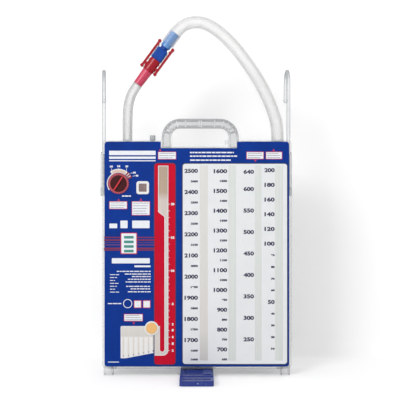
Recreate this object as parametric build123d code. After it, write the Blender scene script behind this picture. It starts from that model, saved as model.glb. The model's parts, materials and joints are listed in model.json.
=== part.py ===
from build123d import *
import os
from math import atan2, cos, degrees, hypot, pi, radians, sin, tan

# Chest drain unit. Millimetres. X runs right, Y runs back, Z runs up, and the floor is Z 0.

# Clear housing
cover_w = 256.6
cover_top = 320.0
cover_base = 10.0
cover_corner_r = 6.0
cover_t = 2.4
cover_edge_r = 0.8
rim_t = 1.6
rim_depth = 3.0
front_y = -35.0
body_depth = 70.0
seat_gap = 0.2
tray_w = 242.0
tray_corner_r = 3.0
wall_t = 2.2
flange_t = 2.0
partition_t = 1.8

# Notch in the housing's top, under the carry handle
notch_left = -48.7
notch_right = 54.4
notch_depth = 8.8
notch_side_room = 2.4

# Collection chambers: left wall of each partition and the height that it overflows at
main_chamber_left = -28.8
chamber_1_right = 17.0
chamber_2_right = 74.2
chamber_3_right = 102.0
overflow_1 = cover_top - 42.6
overflow_2 = cover_top - 43.4
overflow_3 = cover_top - 41.3

# Feet, skirts and stop ribs under the housing
foot_w = 13.0
rear_foot_w = 7.6
foot_depth = 14.0
foot_outer_x = cover_w / 2 - 1.3
foot_wall = 1.8
foot_corner_r = 5.0
rear_foot_corner_r = 3.0
skirt_t = 1.6
skirt_drop = 6.6
stop_rib_t = 3.6
stop_rib_bottom = 0.8
stop_gap = 0.4

# Floor stand and its pivot
stand_w = 44.4
stand_len = 224.0
stand_h = 8.0
stand_corner_r = 4.0
stand_edge_r = 1.0
stand_lip_len = 31.0
stand_lip_drop = 1.0
stand_shell = 2.2
stand_top_rib_w = 10.2
stand_top_rib_h = 1.3
stand_top_rib_x = 14.4
stand_top_rib_len = 38.0
stand_pocket_depth = 1.2
stand_pocket_border = 6.0
stand_slot_w = 36.0
stand_slot_len = 6.0
stand_slot_depth = 1.6
stand_slot_y = -99.0
stand_bump_x = -4.3
stand_bump_r = 1.8
stand_bump_rise = 0.4
stand_dimple_x = 1.5
stand_dimple_z = 3.6
stand_dimple_r = 1.1
stand_cross_ribs = (-88, -58, -30, 30, 58, 88)
stand_head_gap = 1.0
pivot_r = 4.0
pivot_head_r = 7.0
pivot_head_t = 2.2
pivot_head_z = 1.4
pivot_head_edge_r = 0.8
pivot_boss_r = 8.0
pivot_boss_h = 12.0
running_gap = 0.08
press_gap = 0.02
face_gap = 0.3

# Carry handle
handle_left = -48.4
handle_right = 57.6
handle_top = cover_top + 30.0
handle_corner_r = 26.0
handle_band_t = 2.0
handle_depth = 32.0
handle_web_t = 2.0
handle_rib_t = 1.6
grip_left = -35.9
grip_right = 44.3
grip_top = handle_top - 11.5
grip_corner_r = 12.0
corner_rib_leans = (12, 32, 52, 72)
tab_w = 6.3
tab_t = 2.0
tab_top = cover_top
tab_bottom = tab_top - 5.3

# Hangers: round rods with a hook at the top, each in a sleeve beside the housing
hanger_left_x = -tray_w / 2 - 8.0
hanger_right_x = tray_w / 2 + 6.0
hanger_splay_left = 5.5
hanger_rod_r = 2.25
hanger_hook_r = 2.6
hanger_hook_depth = 45.0
hanger_top = cover_top + 102.0
hanger_tip_z = hanger_top - 45.0
hanger_tip_r = 3.3
hanger_collar_r = 4.2
hanger_collar_h = 2.6
sleeve_r = 4.75
sleeve_top = cover_top - 18.0
sleeve_bottom = sleeve_top - 45.6
sleeve_web_t = 6.0
hanger_cap_h = 12.4
hanger_cap_r = 4.9
hanger_cap_end_t = 1.4
hanger_cap_edge_r = 1.2
hanger_root = 0.5

# Printed films on the front
film_t = 0.3
face_film_half_w = cover_w / 2 - 3.3
face_film_bottom = 13.0
face_film_top = cover_top - 2.7
face_film_corner_r = 4.0
seal_film_left = -57.3
seal_film_right = -29.1
seal_film_bottom = 15.8
seal_film_top = cover_top - 32.2
volume_film_left = -19.1
volume_film_right = 122.2
volume_film_bottom = 16.3
volume_film_top = cover_top - 32.6
film_corner_r = 3.6
strip_bottom = 21.1
strip_top = volume_film_top - 2.4
strip_spans = ((4.1, 14.9), (42.9, 53.1), (78.7, 87.6), (105.9, 116.7))

# Water seal column and leak meter, as outlines of their clear windows
leak_left = -103.2
leak_right = -57.6
leak_top = 67.7
leak_floor_left = 24.0
leak_floor_right = 31.3
leak_flat_w = 6.9
column_right = -38.6
column_wide_left = -52.4
column_narrow_left = -43.9
column_top = seal_film_top - 3.0
column_taper_top = 222.1
column_taper_bottom = 215.4
finger_left = -50.0
finger_bottom = 33.0
bend_bottom = 27.6
bend_outer_r = 7.2
bend_flat = 0.2
leak_corner_r = 1.6
seal_wall = 1.5
seal_depth = 16.0
seal_back_t = 1.4
comb_top = 53.0
comb_rib_t = 1.5
comb_pitch = 6.85
comb_ribs = 6
comb_gap = 0.3
comb_back_t = 1.0
float_cage_wall = 1.6
float_side_room = 0.6
float_wall = 1.0
float_r = 4.2
float_h = 9.0
float_travel = 6.0
float_edge_r = 1.2
float_throat_front = 4.0
float_throat_rear = 1.0

# Suction regulator
dial_x = -106.0
dial_z = 260.6
dial_skirt_r = 14.1
dial_skirt_t = 1.8
dial_teeth = 28
dial_tooth_depth = 0.9
dial_boss_r = 10.8
dial_boss_t = 3.4
dial_bar_len = 22.4
dial_bar_w = 3.4
dial_bar_t = 2.2
dial_bar_angle = 57.0
dial_bar_tip_r = 1.955
dial_boss_edge_r = 1.0
dial_shaft_r = 3.0
dial_shaft_len = 10.0
dial_lift = 0.3
dial_bush_r = 6.0
dial_bush_len = 4.4
retainer_r = 5.0
retainer_t = 1.0
retainer_groove_r = 2.5
retainer_gap = 2.4
scale_plate_inner_r = 14.5
scale_plate_outer_r = 19.8
scale_plate_t = 0.5
scale_plate_start = 40.0
scale_plate_end = 215.0
scale_fan_end = 125.0
scale_crescent_w = 1.3
scale_crescent_lap = 1.0
regulator_r = 12.2
regulator_wall = 1.4
regulator_depth = 26.0
regulator_ledge_y = -24.0
regulator_ledge_t = 1.2
regulator_ledge_bore_r = 3.8
nozzle_r = 3.2
nozzle_bore_r = 2.0
nozzle_len = 7.0
diaphragm_y = -17.0
diaphragm_t = 1.0
diaphragm_plate_r = 6.4
diaphragm_plate_t = 1.0
diaphragm_seat_r = 2.6
diaphragm_seat_len = 3.0
regulator_coil_r = 5.4
regulator_wire_r = 0.5
regulator_turns = 3

# Suction indicator
indicator_x = -73.2
indicator_z = 254.95
indicator_w = 17.2
indicator_h = 17.7
indicator_corner_r = 3.4
indicator_proud = 1.5
indicator_window_w = 10.6
indicator_window_h = 11.0
indicator_window_r = 1.2
lens_t = 1.0
chute_wall = 1.4
chute_depth = 12.0
indicator_float_h = 9.0
indicator_float_gap = 0.4
indicator_travel = 10.0
indicator_edge_r = 0.6
indicator_float_r = 1.4

# Sampling septum
septum_x = -61.2
septum_z = 64.7
septum_r = 7.6
septum_ring_r = 9.6
septum_ring_proud = 1.2
septum_proud = 1.5
septum_depth = 4.0
septum_edge_r = 0.9
septum_ring_edge_r = 0.5

# Vent button, relief valve and ports in the top wall
vent_x = -61.5
vent_boss_r = 3.0
vent_bore_r = 2.4
vent_boss_top = cover_top + 2.4
vent_boss_drop = 7.0
vent_floor_t = 1.4
vent_cap_r = 3.95
vent_cap_top = cover_top + 8.3
vent_cap_t = 1.2
vent_cap_edge_r = 0.7
vent_travel = 2.4
vent_stem_r = 0.9
vent_disc_r = 2.8
vent_disc_t = 1.4
vent_wire_r = 0.25
vent_coil_r = 1.7
vent_turns = 4
relief_x = -78.0
relief_cap_r = 5.0
relief_cap_t = 1.4
relief_cap_edge_r = 1.0
relief_stem_r = 1.4
relief_bulb_r = 2.1
relief_bulb_h = 2.6
relief_stem_end = 0.4
relief_hole_r = 0.8
relief_holes = 4
relief_hole_circle_r = 3.4
port_wall = 1.6
port_drop = 16.0
port_flange_inset = 0.6

# Hose loop: centre lines in the plane Y 0, as X and the height above the housing's top
hose_plane_y = 0.0
smooth_hose_r = 6.75
corrugated_hose_r = 9.2
bend_share = 0.45
smooth_run = [
    (-96.4, 0.8),
    (-96.4, 18.0),
    (-96.2, 34.0),
    (-95.6, 48.0),
    (-92.8, 60.2),
    (-88.2, 70.3),
    (-82.2, 78.9),
]
corrugated_run = [
    (-30.3, 149.2),
    (-24.4, 157.0),
    (-14.3, 163.2),
    (-2.4, 165.6),
    (9.7, 164.1),
    (21.9, 158.2),
    (35.4, 148.2),
    (49.0, 134.7),
    (62.0, 118.9),
    (74.4, 101.9),
    (86.0, 83.7),
    (96.2, 64.3),
    (104.8, 43.9),
    (111.9, 22.0),
    (111.9, 0.8),
]
smooth_route = [(x, cover_top + z) for x, z in smooth_run]
corrugated_route = [(x, cover_top + z) for x, z in corrugated_run]

# Locking coupler in the loop, along its own axis from the smooth hose's end
red_sleeve_r = 6.4
red_sleeve_root_r = 7.2
red_sleeve_len = 22.9
red_body_r = 7.9
red_body_len = 19.1
red_body_edge_r = 1.5
blue_block_w = 16.4
blue_block_depth = 15.0
blue_block_len = 18.0
blue_neck_r = 5.4
blue_neck_len = 3.7
blue_sleeve_r = 7.0
hose_cuff_wall = 1.2
hose_cuff_len = 17.8
coupler_bore_r = 4.2
spigot_r = 5.0
spigot_len = 6.0
spigot_gap = 0.1
seal_ring_w = 1.6
seal_groove_r = 4.5
arm_offset = 11.1
arm_t = 3.0
arm_knob_r = 2.4
arm_w = 7.0
arm_start = 2.2
arm_reach = 41.7
arm_hook = 2.6
hook_len = 2.4
bridge_len = 4.2
bridge_place = 0.42
red_ring_places = (0.28, 0.8)
red_ring_len = 2.4
red_ring_rise = 0.8
blue_groove_places = (0.3, 0.5, 0.7)
blue_groove_w = 1.6
blue_groove_depth = 0.45
blue_block_corner_r = 2.2
blue_bore_r = 3.6

# Lines worked out from the sizes above
back_y = front_y + body_depth
mouth_y = front_y + cover_t
film_y = front_y - film_t
rim_inset = rim_t + seat_gap
tray_top = cover_top - rim_inset
tray_base = cover_base + rim_inset
ledge_z = cover_top - notch_depth - rim_inset
column_mid = (column_wide_left + column_right) / 2
skirt_y = mouth_y + rim_depth + face_gap

# How near two points count as one, and how far a cut runs past the face that it opens
nearly = 0.01
over = 1.0

BOTTOM = (Align.CENTER, Align.CENTER, Align.MIN)


def span(x0, x1, z0, z1, corner=0.0):
    """A rectangle in the front view, between two X and two Z values."""
    width, height = x1 - x0, z1 - z0
    shape = RectangleRounded(width, height, corner) if corner else Rectangle(width, height)
    return Pos((x0 + x1) / 2, (z0 + z1) / 2) * shape


def slab(sketch, y0, y1):
    """A front-view outline made solid from y0 back to y1."""
    return extrude(Plane.XZ.offset(-y1) * sketch, amount=y1 - y0, dir=(0, -1, 0))


def plate(sketch, z0, z1):
    """A plan-view outline made solid from z0 up to z1."""
    return extrude(Plane.XY.offset(z0) * sketch, amount=z1 - z0, dir=(0, 0, 1))


def disc(x, z, radius, y0, y1):
    """A round solid along Y."""
    return slab(Pos(x, z) * Circle(radius), y0, y1)


def post(x, y, radius, z0, z1):
    """A round solid along Z."""
    return Pos(x, y, z0) * Cylinder(radius, z1 - z0, align=BOTTOM)


def housing_outline(width, height, left, right, notch_floor, corner):
    """Housing outline from the front: a rectangle from the base up, with the notch for the handle."""
    outline = span(-width / 2, width / 2, height[0], height[1])
    outline = fillet(outline.vertices(), corner)
    return outline - span(left, right, notch_floor, height[1] + corner)


def cover_outline():
    return housing_outline(
        cover_w, (cover_base, cover_top), notch_left, notch_right, cover_top - notch_depth, cover_corner_r
    )


def tray_outline():
    room = rim_inset + notch_side_room
    return housing_outline(
        tray_w,
        (tray_base, tray_top),
        notch_left - room,
        notch_right + room + rim_inset,
        ledge_z,
        tray_corner_r,
    )


def window_outline():
    """The seal column, its bend and the leak meter, as one clear window."""
    corners = [
        (leak_left, leak_top),
        (finger_left, leak_top),
        (finger_left, finger_bottom),
        (column_narrow_left, finger_bottom),
        (column_narrow_left, column_taper_bottom),
        (column_wide_left, column_taper_top),
        (column_wide_left, column_top),
        (column_right, column_top),
        (column_right, bend_bottom),
        (leak_right, bend_bottom),
        (leak_right, leak_floor_right),
        (leak_left + leak_flat_w, leak_floor_left),
        (leak_left, leak_floor_left),
    ]
    outline = Polygon(*corners, align=None)
    inner = outline.vertices().filter_by(lambda v: abs(v.Y - finger_bottom) < nearly)
    outline = fillet(inner, (column_narrow_left - finger_left) / 2 - bend_flat)
    outer = outline.vertices().filter_by(lambda v: hypot(v.X - column_right, v.Y - bend_bottom) < nearly)
    outline = fillet(outer, bend_outer_r)
    top = outline.vertices().filter_by(lambda v: hypot(v.X - leak_left, v.Y - leak_top) < nearly)
    return fillet(top, leak_corner_r)


def partition(left, top):
    """A chamber wall behind the cover, from the tray's floor up and back to its rear wall."""
    return slab(span(left, left + partition_t, tray_base + wall_t, top), mouth_y, back_y - wall_t)


def foot(side, rear):
    """A hollow corner foot, open below, with its outer corner rounded."""
    y0 = back_y - foot_depth if rear else skirt_y
    x_out = side * (tray_w / 2 if rear else foot_outer_x)
    width = rear_foot_w if rear else foot_w
    outline = Pos(x_out - side * width / 2, y0 + foot_depth / 2) * Rectangle(width, foot_depth)
    outer_y = max if rear else min
    corner = outer_y(outline.vertices().filter_by(lambda v: abs(v.X - x_out) < nearly), key=lambda v: v.Y)
    outline = fillet(corner, rear_foot_corner_r if rear else foot_corner_r)
    pad = plate(outline, 0, tray_base)
    return pad - plate(offset(outline, -foot_wall), -over, tray_base - foot_wall)


def stop_rib(turned):
    """A rib beside the floor stand that stops it at both ends of its swing, with a round lower end."""
    inner = stand_w / 2 + stop_gap
    depth = abs(skirt_y) - inner
    rib = Pos(-inner - stop_rib_t / 2, -inner - depth / 2, stop_rib_bottom) * Box(
        stop_rib_t, depth, tray_base - stop_rib_bottom, align=BOTTOM
    )
    lower = rib.edges().filter_by(Axis.Y).group_by(Axis.Z)[0]
    rib = fillet(lower, stop_rib_t / 2 - 0.1)
    return Rot(0, 0, 180) * rib if turned else rib


def under_skirt(turned):
    """A short wall from a corner foot to its stop rib, outside the stand's swing."""
    x0 = -tray_w / 2 + rear_foot_w - foot_wall if turned else -foot_outer_x + foot_w - foot_wall
    x1 = -stand_w / 2 - stop_gap - stop_rib_t / 2
    wall = Pos((x0 + x1) / 2, skirt_y + skirt_t / 2, tray_base - skirt_drop) * Box(
        x1 - x0, skirt_t, skirt_drop, align=BOTTOM
    )
    return Rot(0, 0, 180) * wall if turned else wall


def hanger_sleeve(x):
    """The tube beside the housing that a hanger rod turns in, on a web from the side wall."""
    side = 1 if x > 0 else -1
    reach = abs(x) - tray_w / 2 + wall_t / 2
    web = Pos(side * (tray_w / 2 - wall_t / 2 + reach / 2), 0, sleeve_bottom) * Box(
        reach, sleeve_web_t, sleeve_top - sleeve_bottom, align=BOTTOM
    )
    tube = post(x, 0, sleeve_r, sleeve_bottom, sleeve_top)
    bore = post(x, 0, hanger_rod_r + running_gap, sleeve_bottom - over, sleeve_top + over)
    return web + tube - bore


def back_shell():
    outline = tray_outline()
    shell = slab(outline, mouth_y, back_y)
    shell = fillet(shell.faces().sort_by(Axis.Y)[-1].edges(), wall_t)
    shell -= slab(offset(outline, -wall_t), mouth_y - over, back_y - wall_t)
    flange = offset(cover_outline(), -rim_inset) - offset(outline, -wall_t)
    shell += slab(flange, mouth_y, mouth_y + flange_t)
    for side in (-1, 1):
        for rear in (False, True):
            shell += foot(side, rear)
    for turned in (False, True):
        shell += stop_rib(turned)
        shell += under_skirt(turned)
    for x in (hanger_left_x, hanger_right_x):
        shell += hanger_sleeve(x)
    pivot_top = tray_base + pivot_boss_h
    shell += post(0, 0, pivot_boss_r, stand_h + face_gap, pivot_top)
    shell -= post(0, 0, pivot_r + press_gap, 0, pivot_top - wall_t)
    shell += post(vent_x, 0, vent_boss_r, tray_top - vent_boss_drop, vent_boss_top)
    boss_floor = tray_top - vent_boss_drop
    shell -= post(vent_x, 0, vent_bore_r, boss_floor + vent_floor_t, vent_boss_top + over)
    shell -= post(vent_x, 0, vent_stem_r + running_gap, boss_floor - over, vent_boss_top)
    under = tray_top - wall_t - over
    shell -= post(relief_x, 0, relief_stem_r, under, tray_top + over)
    for hole in PolarLocations(relief_hole_circle_r, relief_holes):
        shell -= Pos(relief_x, 0, 0) * hole * post(0, 0, relief_hole_r, under, tray_top + over)
    for x, radius in ((smooth_route[0][0], smooth_hose_r), (corrugated_route[-1][0], corrugated_hose_r)):
        shell -= post(x, hose_plane_y, port_stem_r(radius), under, tray_top + over)
    return shell


def front_cover():
    outline = cover_outline()
    cover = slab(outline, front_y, mouth_y)
    cover += slab(outline - offset(outline, -rim_t), mouth_y, mouth_y + rim_depth)
    bush_end = mouth_y + dial_bush_len
    cover += disc(dial_x, dial_z, dial_bush_r, mouth_y, bush_end)
    cover -= disc(dial_x, dial_z, dial_shaft_r + running_gap, front_y - over, bush_end + over)
    cover -= slab(indicator_window(), front_y - over, mouth_y + over)
    cover -= disc(septum_x, septum_z, septum_r, front_y - over, mouth_y + over)
    edges = cover.faces().sort_by(Axis.Y)[0].outer_wire().edges()
    cover = fillet(edges, cover_edge_r)
    for left, top in (
        (main_chamber_left, ledge_z - wall_t),
        (chamber_1_right, overflow_1),
        (chamber_2_right, overflow_2),
        (chamber_3_right, overflow_3),
    ):
        cover += partition(left, top)
    return cover


def indicator_window():
    return Pos(indicator_x, indicator_z) * RectangleRounded(
        indicator_window_w + 2 * chute_wall,
        indicator_window_h + 2 * chute_wall,
        indicator_window_r + chute_wall,
    )


def seal_panel():
    return span(seal_film_left, seal_film_right, seal_film_bottom, seal_film_top, film_corner_r)


def volume_panel():
    return span(volume_film_left, volume_film_right, volume_film_bottom, volume_film_top, film_corner_r)


def face_label():
    outline = span(-face_film_half_w, face_film_half_w, face_film_bottom, face_film_top)
    outline = fillet(outline.vertices(), face_film_corner_r)
    floor = cover_top - notch_depth - (cover_top - face_film_top)
    outline -= span(notch_left, notch_right, floor, cover_top)
    outline -= window_outline()
    outline -= seal_panel()
    outline -= volume_panel()
    outline -= Pos(dial_x, dial_z) * Circle(dial_shaft_r + 2 * running_gap)
    outline -= indicator_window()
    outline -= Pos(septum_x, septum_z) * Circle(septum_ring_r)
    return slab(outline, film_y, front_y)


def seal_scale_label():
    outline = seal_panel() - window_outline() - Pos(septum_x, septum_z) * Circle(septum_ring_r)
    return slab(outline, film_y, front_y)


def volume_scale_label():
    outline = volume_panel()
    for left, right in strip_spans:
        outline -= span(left, right, strip_bottom, strip_top)
    return slab(outline, film_y, front_y)


def seal_chamber():
    """Clear channel behind the windows, with the float valve's cage on top of the wide column."""
    window = window_outline()
    back = mouth_y + seal_depth
    shell = slab(offset(window, seal_wall, kind=Kind.INTERSECTION), mouth_y, back)
    shell -= slab(window, mouth_y - over, back - seal_back_t)
    bay_bottom = column_top + seal_wall + float_cage_wall
    bay_top = bay_bottom + float_h + float_travel + 2 * face_gap
    inner = float_r + float_side_room
    half = inner + float_cage_wall
    cage_bottom = column_top + seal_wall / 2
    cage_top = bay_top + float_cage_wall
    cage = slab(span(column_mid - half, column_mid + half, cage_bottom, cage_top), mouth_y, back)
    bay = span(column_mid - inner, column_mid + inner, bay_bottom, bay_top)
    bay = slab(bay, mouth_y - over, back - seal_back_t)
    throat = slab(
        span(column_mid - float_r / 2, column_mid + float_r / 2, column_top - over, bay_bottom + over),
        mouth_y + float_throat_front,
        back - seal_back_t - float_throat_rear,
    )
    return shell + cage - bay - throat


def seal_float():
    """Hollow float that closes the top of the water seal when it rises."""
    z0 = column_top + seal_wall + float_cage_wall + face_gap
    y_mid = mouth_y + (seal_depth - seal_back_t) / 2
    body = Pos(column_mid, y_mid, z0) * Cylinder(float_r, float_h, align=BOTTOM)
    body = fillet(body.edges().filter_by(GeomType.CIRCLE), float_edge_r)
    hollow = Cylinder(float_r - float_wall, float_h, align=BOTTOM)
    return body - Pos(column_mid, y_mid, z0 - float_wall) * hollow


def leak_meter():
    """White comb: six ribs on a thin back make seven bubble columns."""
    gap = comb_gap
    slope = (leak_floor_right - leak_floor_left) / (leak_right - leak_left - leak_flat_w)
    area = Polygon(
        (leak_left + gap, comb_top),
        (leak_right - gap, comb_top),
        (leak_right - gap, leak_floor_right + gap - slope * gap),
        (leak_left + leak_flat_w, leak_floor_left + gap),
        (leak_left + gap, leak_floor_left + gap),
        align=None,
    )
    back = mouth_y + seal_depth - seal_back_t
    comb = slab(area, back - comb_back_t, back)
    for i in range(comb_ribs):
        x = leak_left + leak_flat_w + i * comb_pitch
        strip = span(x - comb_rib_t / 2, x + comb_rib_t / 2, leak_floor_left, comb_top) & area
        comb += slab(strip, mouth_y + gap, back)
    return comb


def septum_ring():
    back = mouth_y + septum_depth
    ring = disc(septum_x, septum_z, septum_ring_r, front_y - septum_ring_proud, front_y)
    ring = fillet(ring.faces().sort_by(Axis.Y)[0].edges(), septum_ring_edge_r)
    return ring - disc(septum_x, septum_z, septum_r, front_y - septum_ring_proud - over, back)


def septum():
    plug = disc(septum_x, septum_z, septum_r, front_y - septum_proud, mouth_y)
    return fillet(plug.faces().sort_by(Axis.Y)[0].edges(), septum_edge_r)


def suction_dial():
    """Knob with a toothed skirt, a grip bar and the shaft that passes through the cover's bush."""
    skirt_back = film_y - dial_lift
    skirt_front = skirt_back - dial_skirt_t
    knob = disc(dial_x, dial_z, dial_skirt_r, skirt_front, skirt_back)
    tooth = 2 * pi * dial_skirt_r / dial_teeth / 4
    for i in range(dial_teeth):
        turn = radians(i * 360 / dial_teeth)
        reach = dial_skirt_r + tooth - dial_tooth_depth
        x, z = dial_x + reach * cos(turn), dial_z + reach * sin(turn)
        knob -= disc(x, z, tooth, skirt_front - over, skirt_back + over)
    boss_front = skirt_front - dial_boss_t
    boss = disc(dial_x, dial_z, dial_boss_r, boss_front, skirt_front)
    knob += fillet(boss.faces().sort_by(Axis.Y)[0].edges(), dial_boss_edge_r)
    bar = Rectangle(dial_bar_len - 2 * dial_bar_w, dial_bar_w)
    bar += Pos((dial_bar_len - 2 * dial_bar_w) / 2, 0) * RegularPolygon(dial_bar_tip_r, 3)
    bar = Pos(dial_x, dial_z) * Rot(0, 0, dial_bar_angle) * (bar & Rectangle(dial_bar_len, dial_bar_w))
    knob += slab(bar, boss_front - dial_bar_t, boss_front)
    shaft_end = front_y + dial_shaft_len
    knob += disc(dial_x, dial_z, dial_shaft_r, skirt_back, shaft_end)
    groove = mouth_y + dial_bush_len + face_gap
    collar = disc(dial_x, dial_z, dial_shaft_r + over, groove, groove + retainer_t)
    return knob - (collar - disc(dial_x, dial_z, retainer_groove_r, groove, groove + retainer_t))


def dial_retainer():
    groove = mouth_y + dial_bush_len + face_gap
    ring = disc(dial_x, dial_z, retainer_r, groove, groove + retainer_t)
    ring -= disc(dial_x, dial_z, retainer_groove_r, groove - over, groove + retainer_t + over)
    half = retainer_gap / 2
    gap = span(dial_x, dial_x + retainer_r + over, dial_z - half, dial_z + half)
    return ring - slab(gap, groove - over, groove + retainer_t + over)


def sector(inner, outer, start, end):
    """A ring sector in the front view, from one angle to another."""
    mid = (start + end) / 2

    def point(radius, angle):
        return (radius * cos(radians(angle)), radius * sin(radians(angle)))

    outline = ThreePointArc(point(outer, start), point(outer, mid), point(outer, end))
    outline += Line(point(outer, end), point(inner, end))
    outline += ThreePointArc(point(inner, end), point(inner, mid), point(inner, start))
    outline += Line(point(inner, start), point(outer, start))
    return make_face(outline)


def dial_scale():
    """Pale fan-shaped plate above the knob, with a thin crescent round the knob's left side."""
    thin_r = scale_plate_inner_r + scale_crescent_w
    outline = sector(scale_plate_inner_r, scale_plate_outer_r, scale_plate_start, scale_fan_end)
    outline += sector(scale_plate_inner_r, thin_r, scale_fan_end - scale_crescent_lap, scale_plate_end)
    return slab(Pos(dial_x, dial_z) * outline, film_y - scale_plate_t, film_y)


def regulator_body():
    """Cup behind the cover with a ledge for the spring and a nozzle at the back."""
    back = mouth_y + regulator_depth
    cup = disc(dial_x, dial_z, regulator_r, mouth_y, back)
    cup -= disc(dial_x, dial_z, regulator_r - regulator_wall, mouth_y - over, back - regulator_wall)
    ledge_r, ledge_front = regulator_r - regulator_wall / 2, regulator_ledge_y - regulator_ledge_t
    ledge = disc(dial_x, dial_z, ledge_r, ledge_front, regulator_ledge_y)
    ledge -= disc(dial_x, dial_z, regulator_ledge_bore_r, ledge_front - over, regulator_ledge_y + over)
    nozzle = disc(dial_x, dial_z, nozzle_r, back, back + nozzle_len)
    bore = disc(dial_x, dial_z, nozzle_bore_r, back - regulator_wall - over, back + nozzle_len + over)
    return cup + ledge + nozzle - bore


def regulator_diaphragm():
    edge = regulator_r - regulator_wall
    web = disc(dial_x, dial_z, edge, diaphragm_y, diaphragm_y + diaphragm_t)
    centre = disc(dial_x, dial_z, diaphragm_plate_r, diaphragm_y - diaphragm_plate_t, diaphragm_y)
    seat = disc(dial_x, dial_z, diaphragm_seat_r, diaphragm_y, diaphragm_y + diaphragm_seat_len)
    return web + centre + seat


def coil(radius, wire, length, turns):
    """An open coil spring along Z from 0, sized over its wire."""
    rise = length - 2 * wire
    path = Helix(rise / turns, rise, radius)
    section = Plane(path @ 0, x_dir=(0, 0, 1), z_dir=path % 0) * Circle(wire)
    return Pos(0, 0, wire) * sweep(section, path, is_frenet=True)


def regulator_spring():
    length = diaphragm_y - diaphragm_plate_t - regulator_ledge_y
    spring = coil(regulator_coil_r, regulator_wire_r, length, regulator_turns)
    return Pos(dial_x, regulator_ledge_y, dial_z) * Rot(-90, 0, 0) * spring


def indicator_frame():
    """White bezel with a short sleeve through the cover."""
    bezel = Pos(indicator_x, indicator_z) * RectangleRounded(indicator_w, indicator_h, indicator_corner_r)
    opening = Pos(indicator_x, indicator_z) * RectangleRounded(
        indicator_window_w, indicator_window_h, indicator_window_r
    )
    frame = slab(bezel, film_y - indicator_proud, film_y)
    frame = fillet(frame.faces().sort_by(Axis.Y)[0].edges(), indicator_edge_r)
    frame += slab(indicator_window(), film_y, mouth_y)
    return frame - slab(opening, film_y - indicator_proud - over, mouth_y + over)


def indicator_lens():
    opening = Pos(indicator_x, indicator_z) * RectangleRounded(
        indicator_window_w, indicator_window_h, indicator_window_r
    )
    return slab(opening, front_y - lens_t / 2, front_y + lens_t / 2)


def chute_span(grow):
    half = indicator_window_w / 2 + grow
    top = indicator_z + indicator_window_h / 2 + grow
    bottom = indicator_z + indicator_window_h / 2 - indicator_float_h - indicator_travel - 2 * face_gap
    return span(indicator_x - half, indicator_x + half, bottom - grow, top)


def indicator_chute():
    """Chute behind the cover that the indicator's float rises in."""
    chute = slab(chute_span(chute_wall), mouth_y, mouth_y + chute_depth)
    return chute - slab(chute_span(0), mouth_y - over, mouth_y + chute_depth - chute_wall)


def indicator_float():
    gap = indicator_float_gap
    z0 = chute_span(0).bounding_box().min.Y + face_gap
    half = indicator_window_w / 2 - gap
    body = slab(
        span(indicator_x - half, indicator_x + half, z0, z0 + indicator_float_h),
        mouth_y + gap,
        mouth_y + chute_depth - chute_wall - gap,
    )
    return fillet(body.edges().filter_by(Axis.Y), indicator_float_r)


def arch(left, right, bottom, top, corner):
    """An arch outline: a rectangle whose two upper corners are rounded."""
    outline = span(left, right, bottom, top)
    return fillet(outline.vertices().group_by(Axis.Y)[-1], corner)


def carry_handle():
    """Ribbed channel handle: outer and inner bands joined by a web and cross ribs."""
    half = handle_depth / 2
    outer = arch(handle_left, handle_right, ledge_z, handle_top, handle_corner_r)
    inner = arch(grip_left, grip_right, ledge_z, grip_top, grip_corner_r)
    ring = outer - inner
    skin = arch(
        handle_left + handle_band_t,
        handle_right - handle_band_t,
        ledge_z,
        handle_top - handle_band_t,
        handle_corner_r - handle_band_t,
    )
    lining = arch(
        grip_left - handle_band_t,
        grip_right + handle_band_t,
        ledge_z,
        grip_top + handle_band_t,
        grip_corner_r + handle_band_t,
    )
    handle = slab(outer - skin, -half, half)
    handle += slab(lining - inner, -half, half)
    handle += slab(ring, -handle_web_t / 2, handle_web_t / 2)
    handle += slab(ring & span(handle_left, handle_right, ledge_z, ledge_z + handle_band_t), -half, half)
    middle = (handle_left + handle_right) / 2
    pitch = (grip_right - grip_left) / 4
    rib_half = half - handle_band_t / 2
    for x in (middle - pitch, middle - handle_rib_t, middle + handle_rib_t, middle + pitch):
        strip = span(x - handle_rib_t / 2, x + handle_rib_t / 2, grip_top, handle_top)
        handle += slab(strip & ring, -rib_half, rib_half)
    for side, corner_x in ((-1, grip_left + grip_corner_r), (1, grip_right - grip_corner_r)):
        for lean in corner_rib_leans:
            ray = Pos(corner_x, grip_top - grip_corner_r) * Rot(0, 0, 90 - side * lean)
            ray *= Pos(handle_corner_r, 0) * Rectangle(2 * handle_corner_r, handle_rib_t)
            handle += slab(ray & ring, -rib_half, rib_half)
    tab = span(grip_right - tab_w, grip_right + handle_band_t / 2, tab_bottom, tab_top)
    return handle + slab(tab, -half, -half + tab_t)


def hanger(x, splay):
    """A rod with a collar above its sleeve and a hook over the top, pointing back."""
    bend = hanger_hook_depth / 2
    bend_z = hanger_top - hanger_hook_r - bend
    rod_top = sleeve_top + face_gap + hanger_collar_h
    root = rod_top - hanger_root
    path = Line((0, 0, root), (0, 0, bend_z))
    path += ThreePointArc((0, 0, bend_z), (0, bend, bend_z + bend), (0, 2 * bend, bend_z))
    path += Line((0, 2 * bend, bend_z), (0, 2 * bend, hanger_tip_z + hanger_tip_r))
    hook = sweep(Plane.XY.offset(root) * Circle(hanger_hook_r), path)
    rod = post(0, 0, hanger_rod_r, sleeve_bottom - face_gap - hanger_cap_h + hanger_cap_end_t, rod_top)
    collar = post(0, 0, hanger_collar_r, sleeve_top + face_gap, rod_top)
    tip = Pos(0, 2 * bend, hanger_tip_z + hanger_tip_r) * Sphere(hanger_tip_r)
    return Pos(x, 0, 0) * Rot(0, 0, splay) * (hook + rod + collar + tip)


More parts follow.
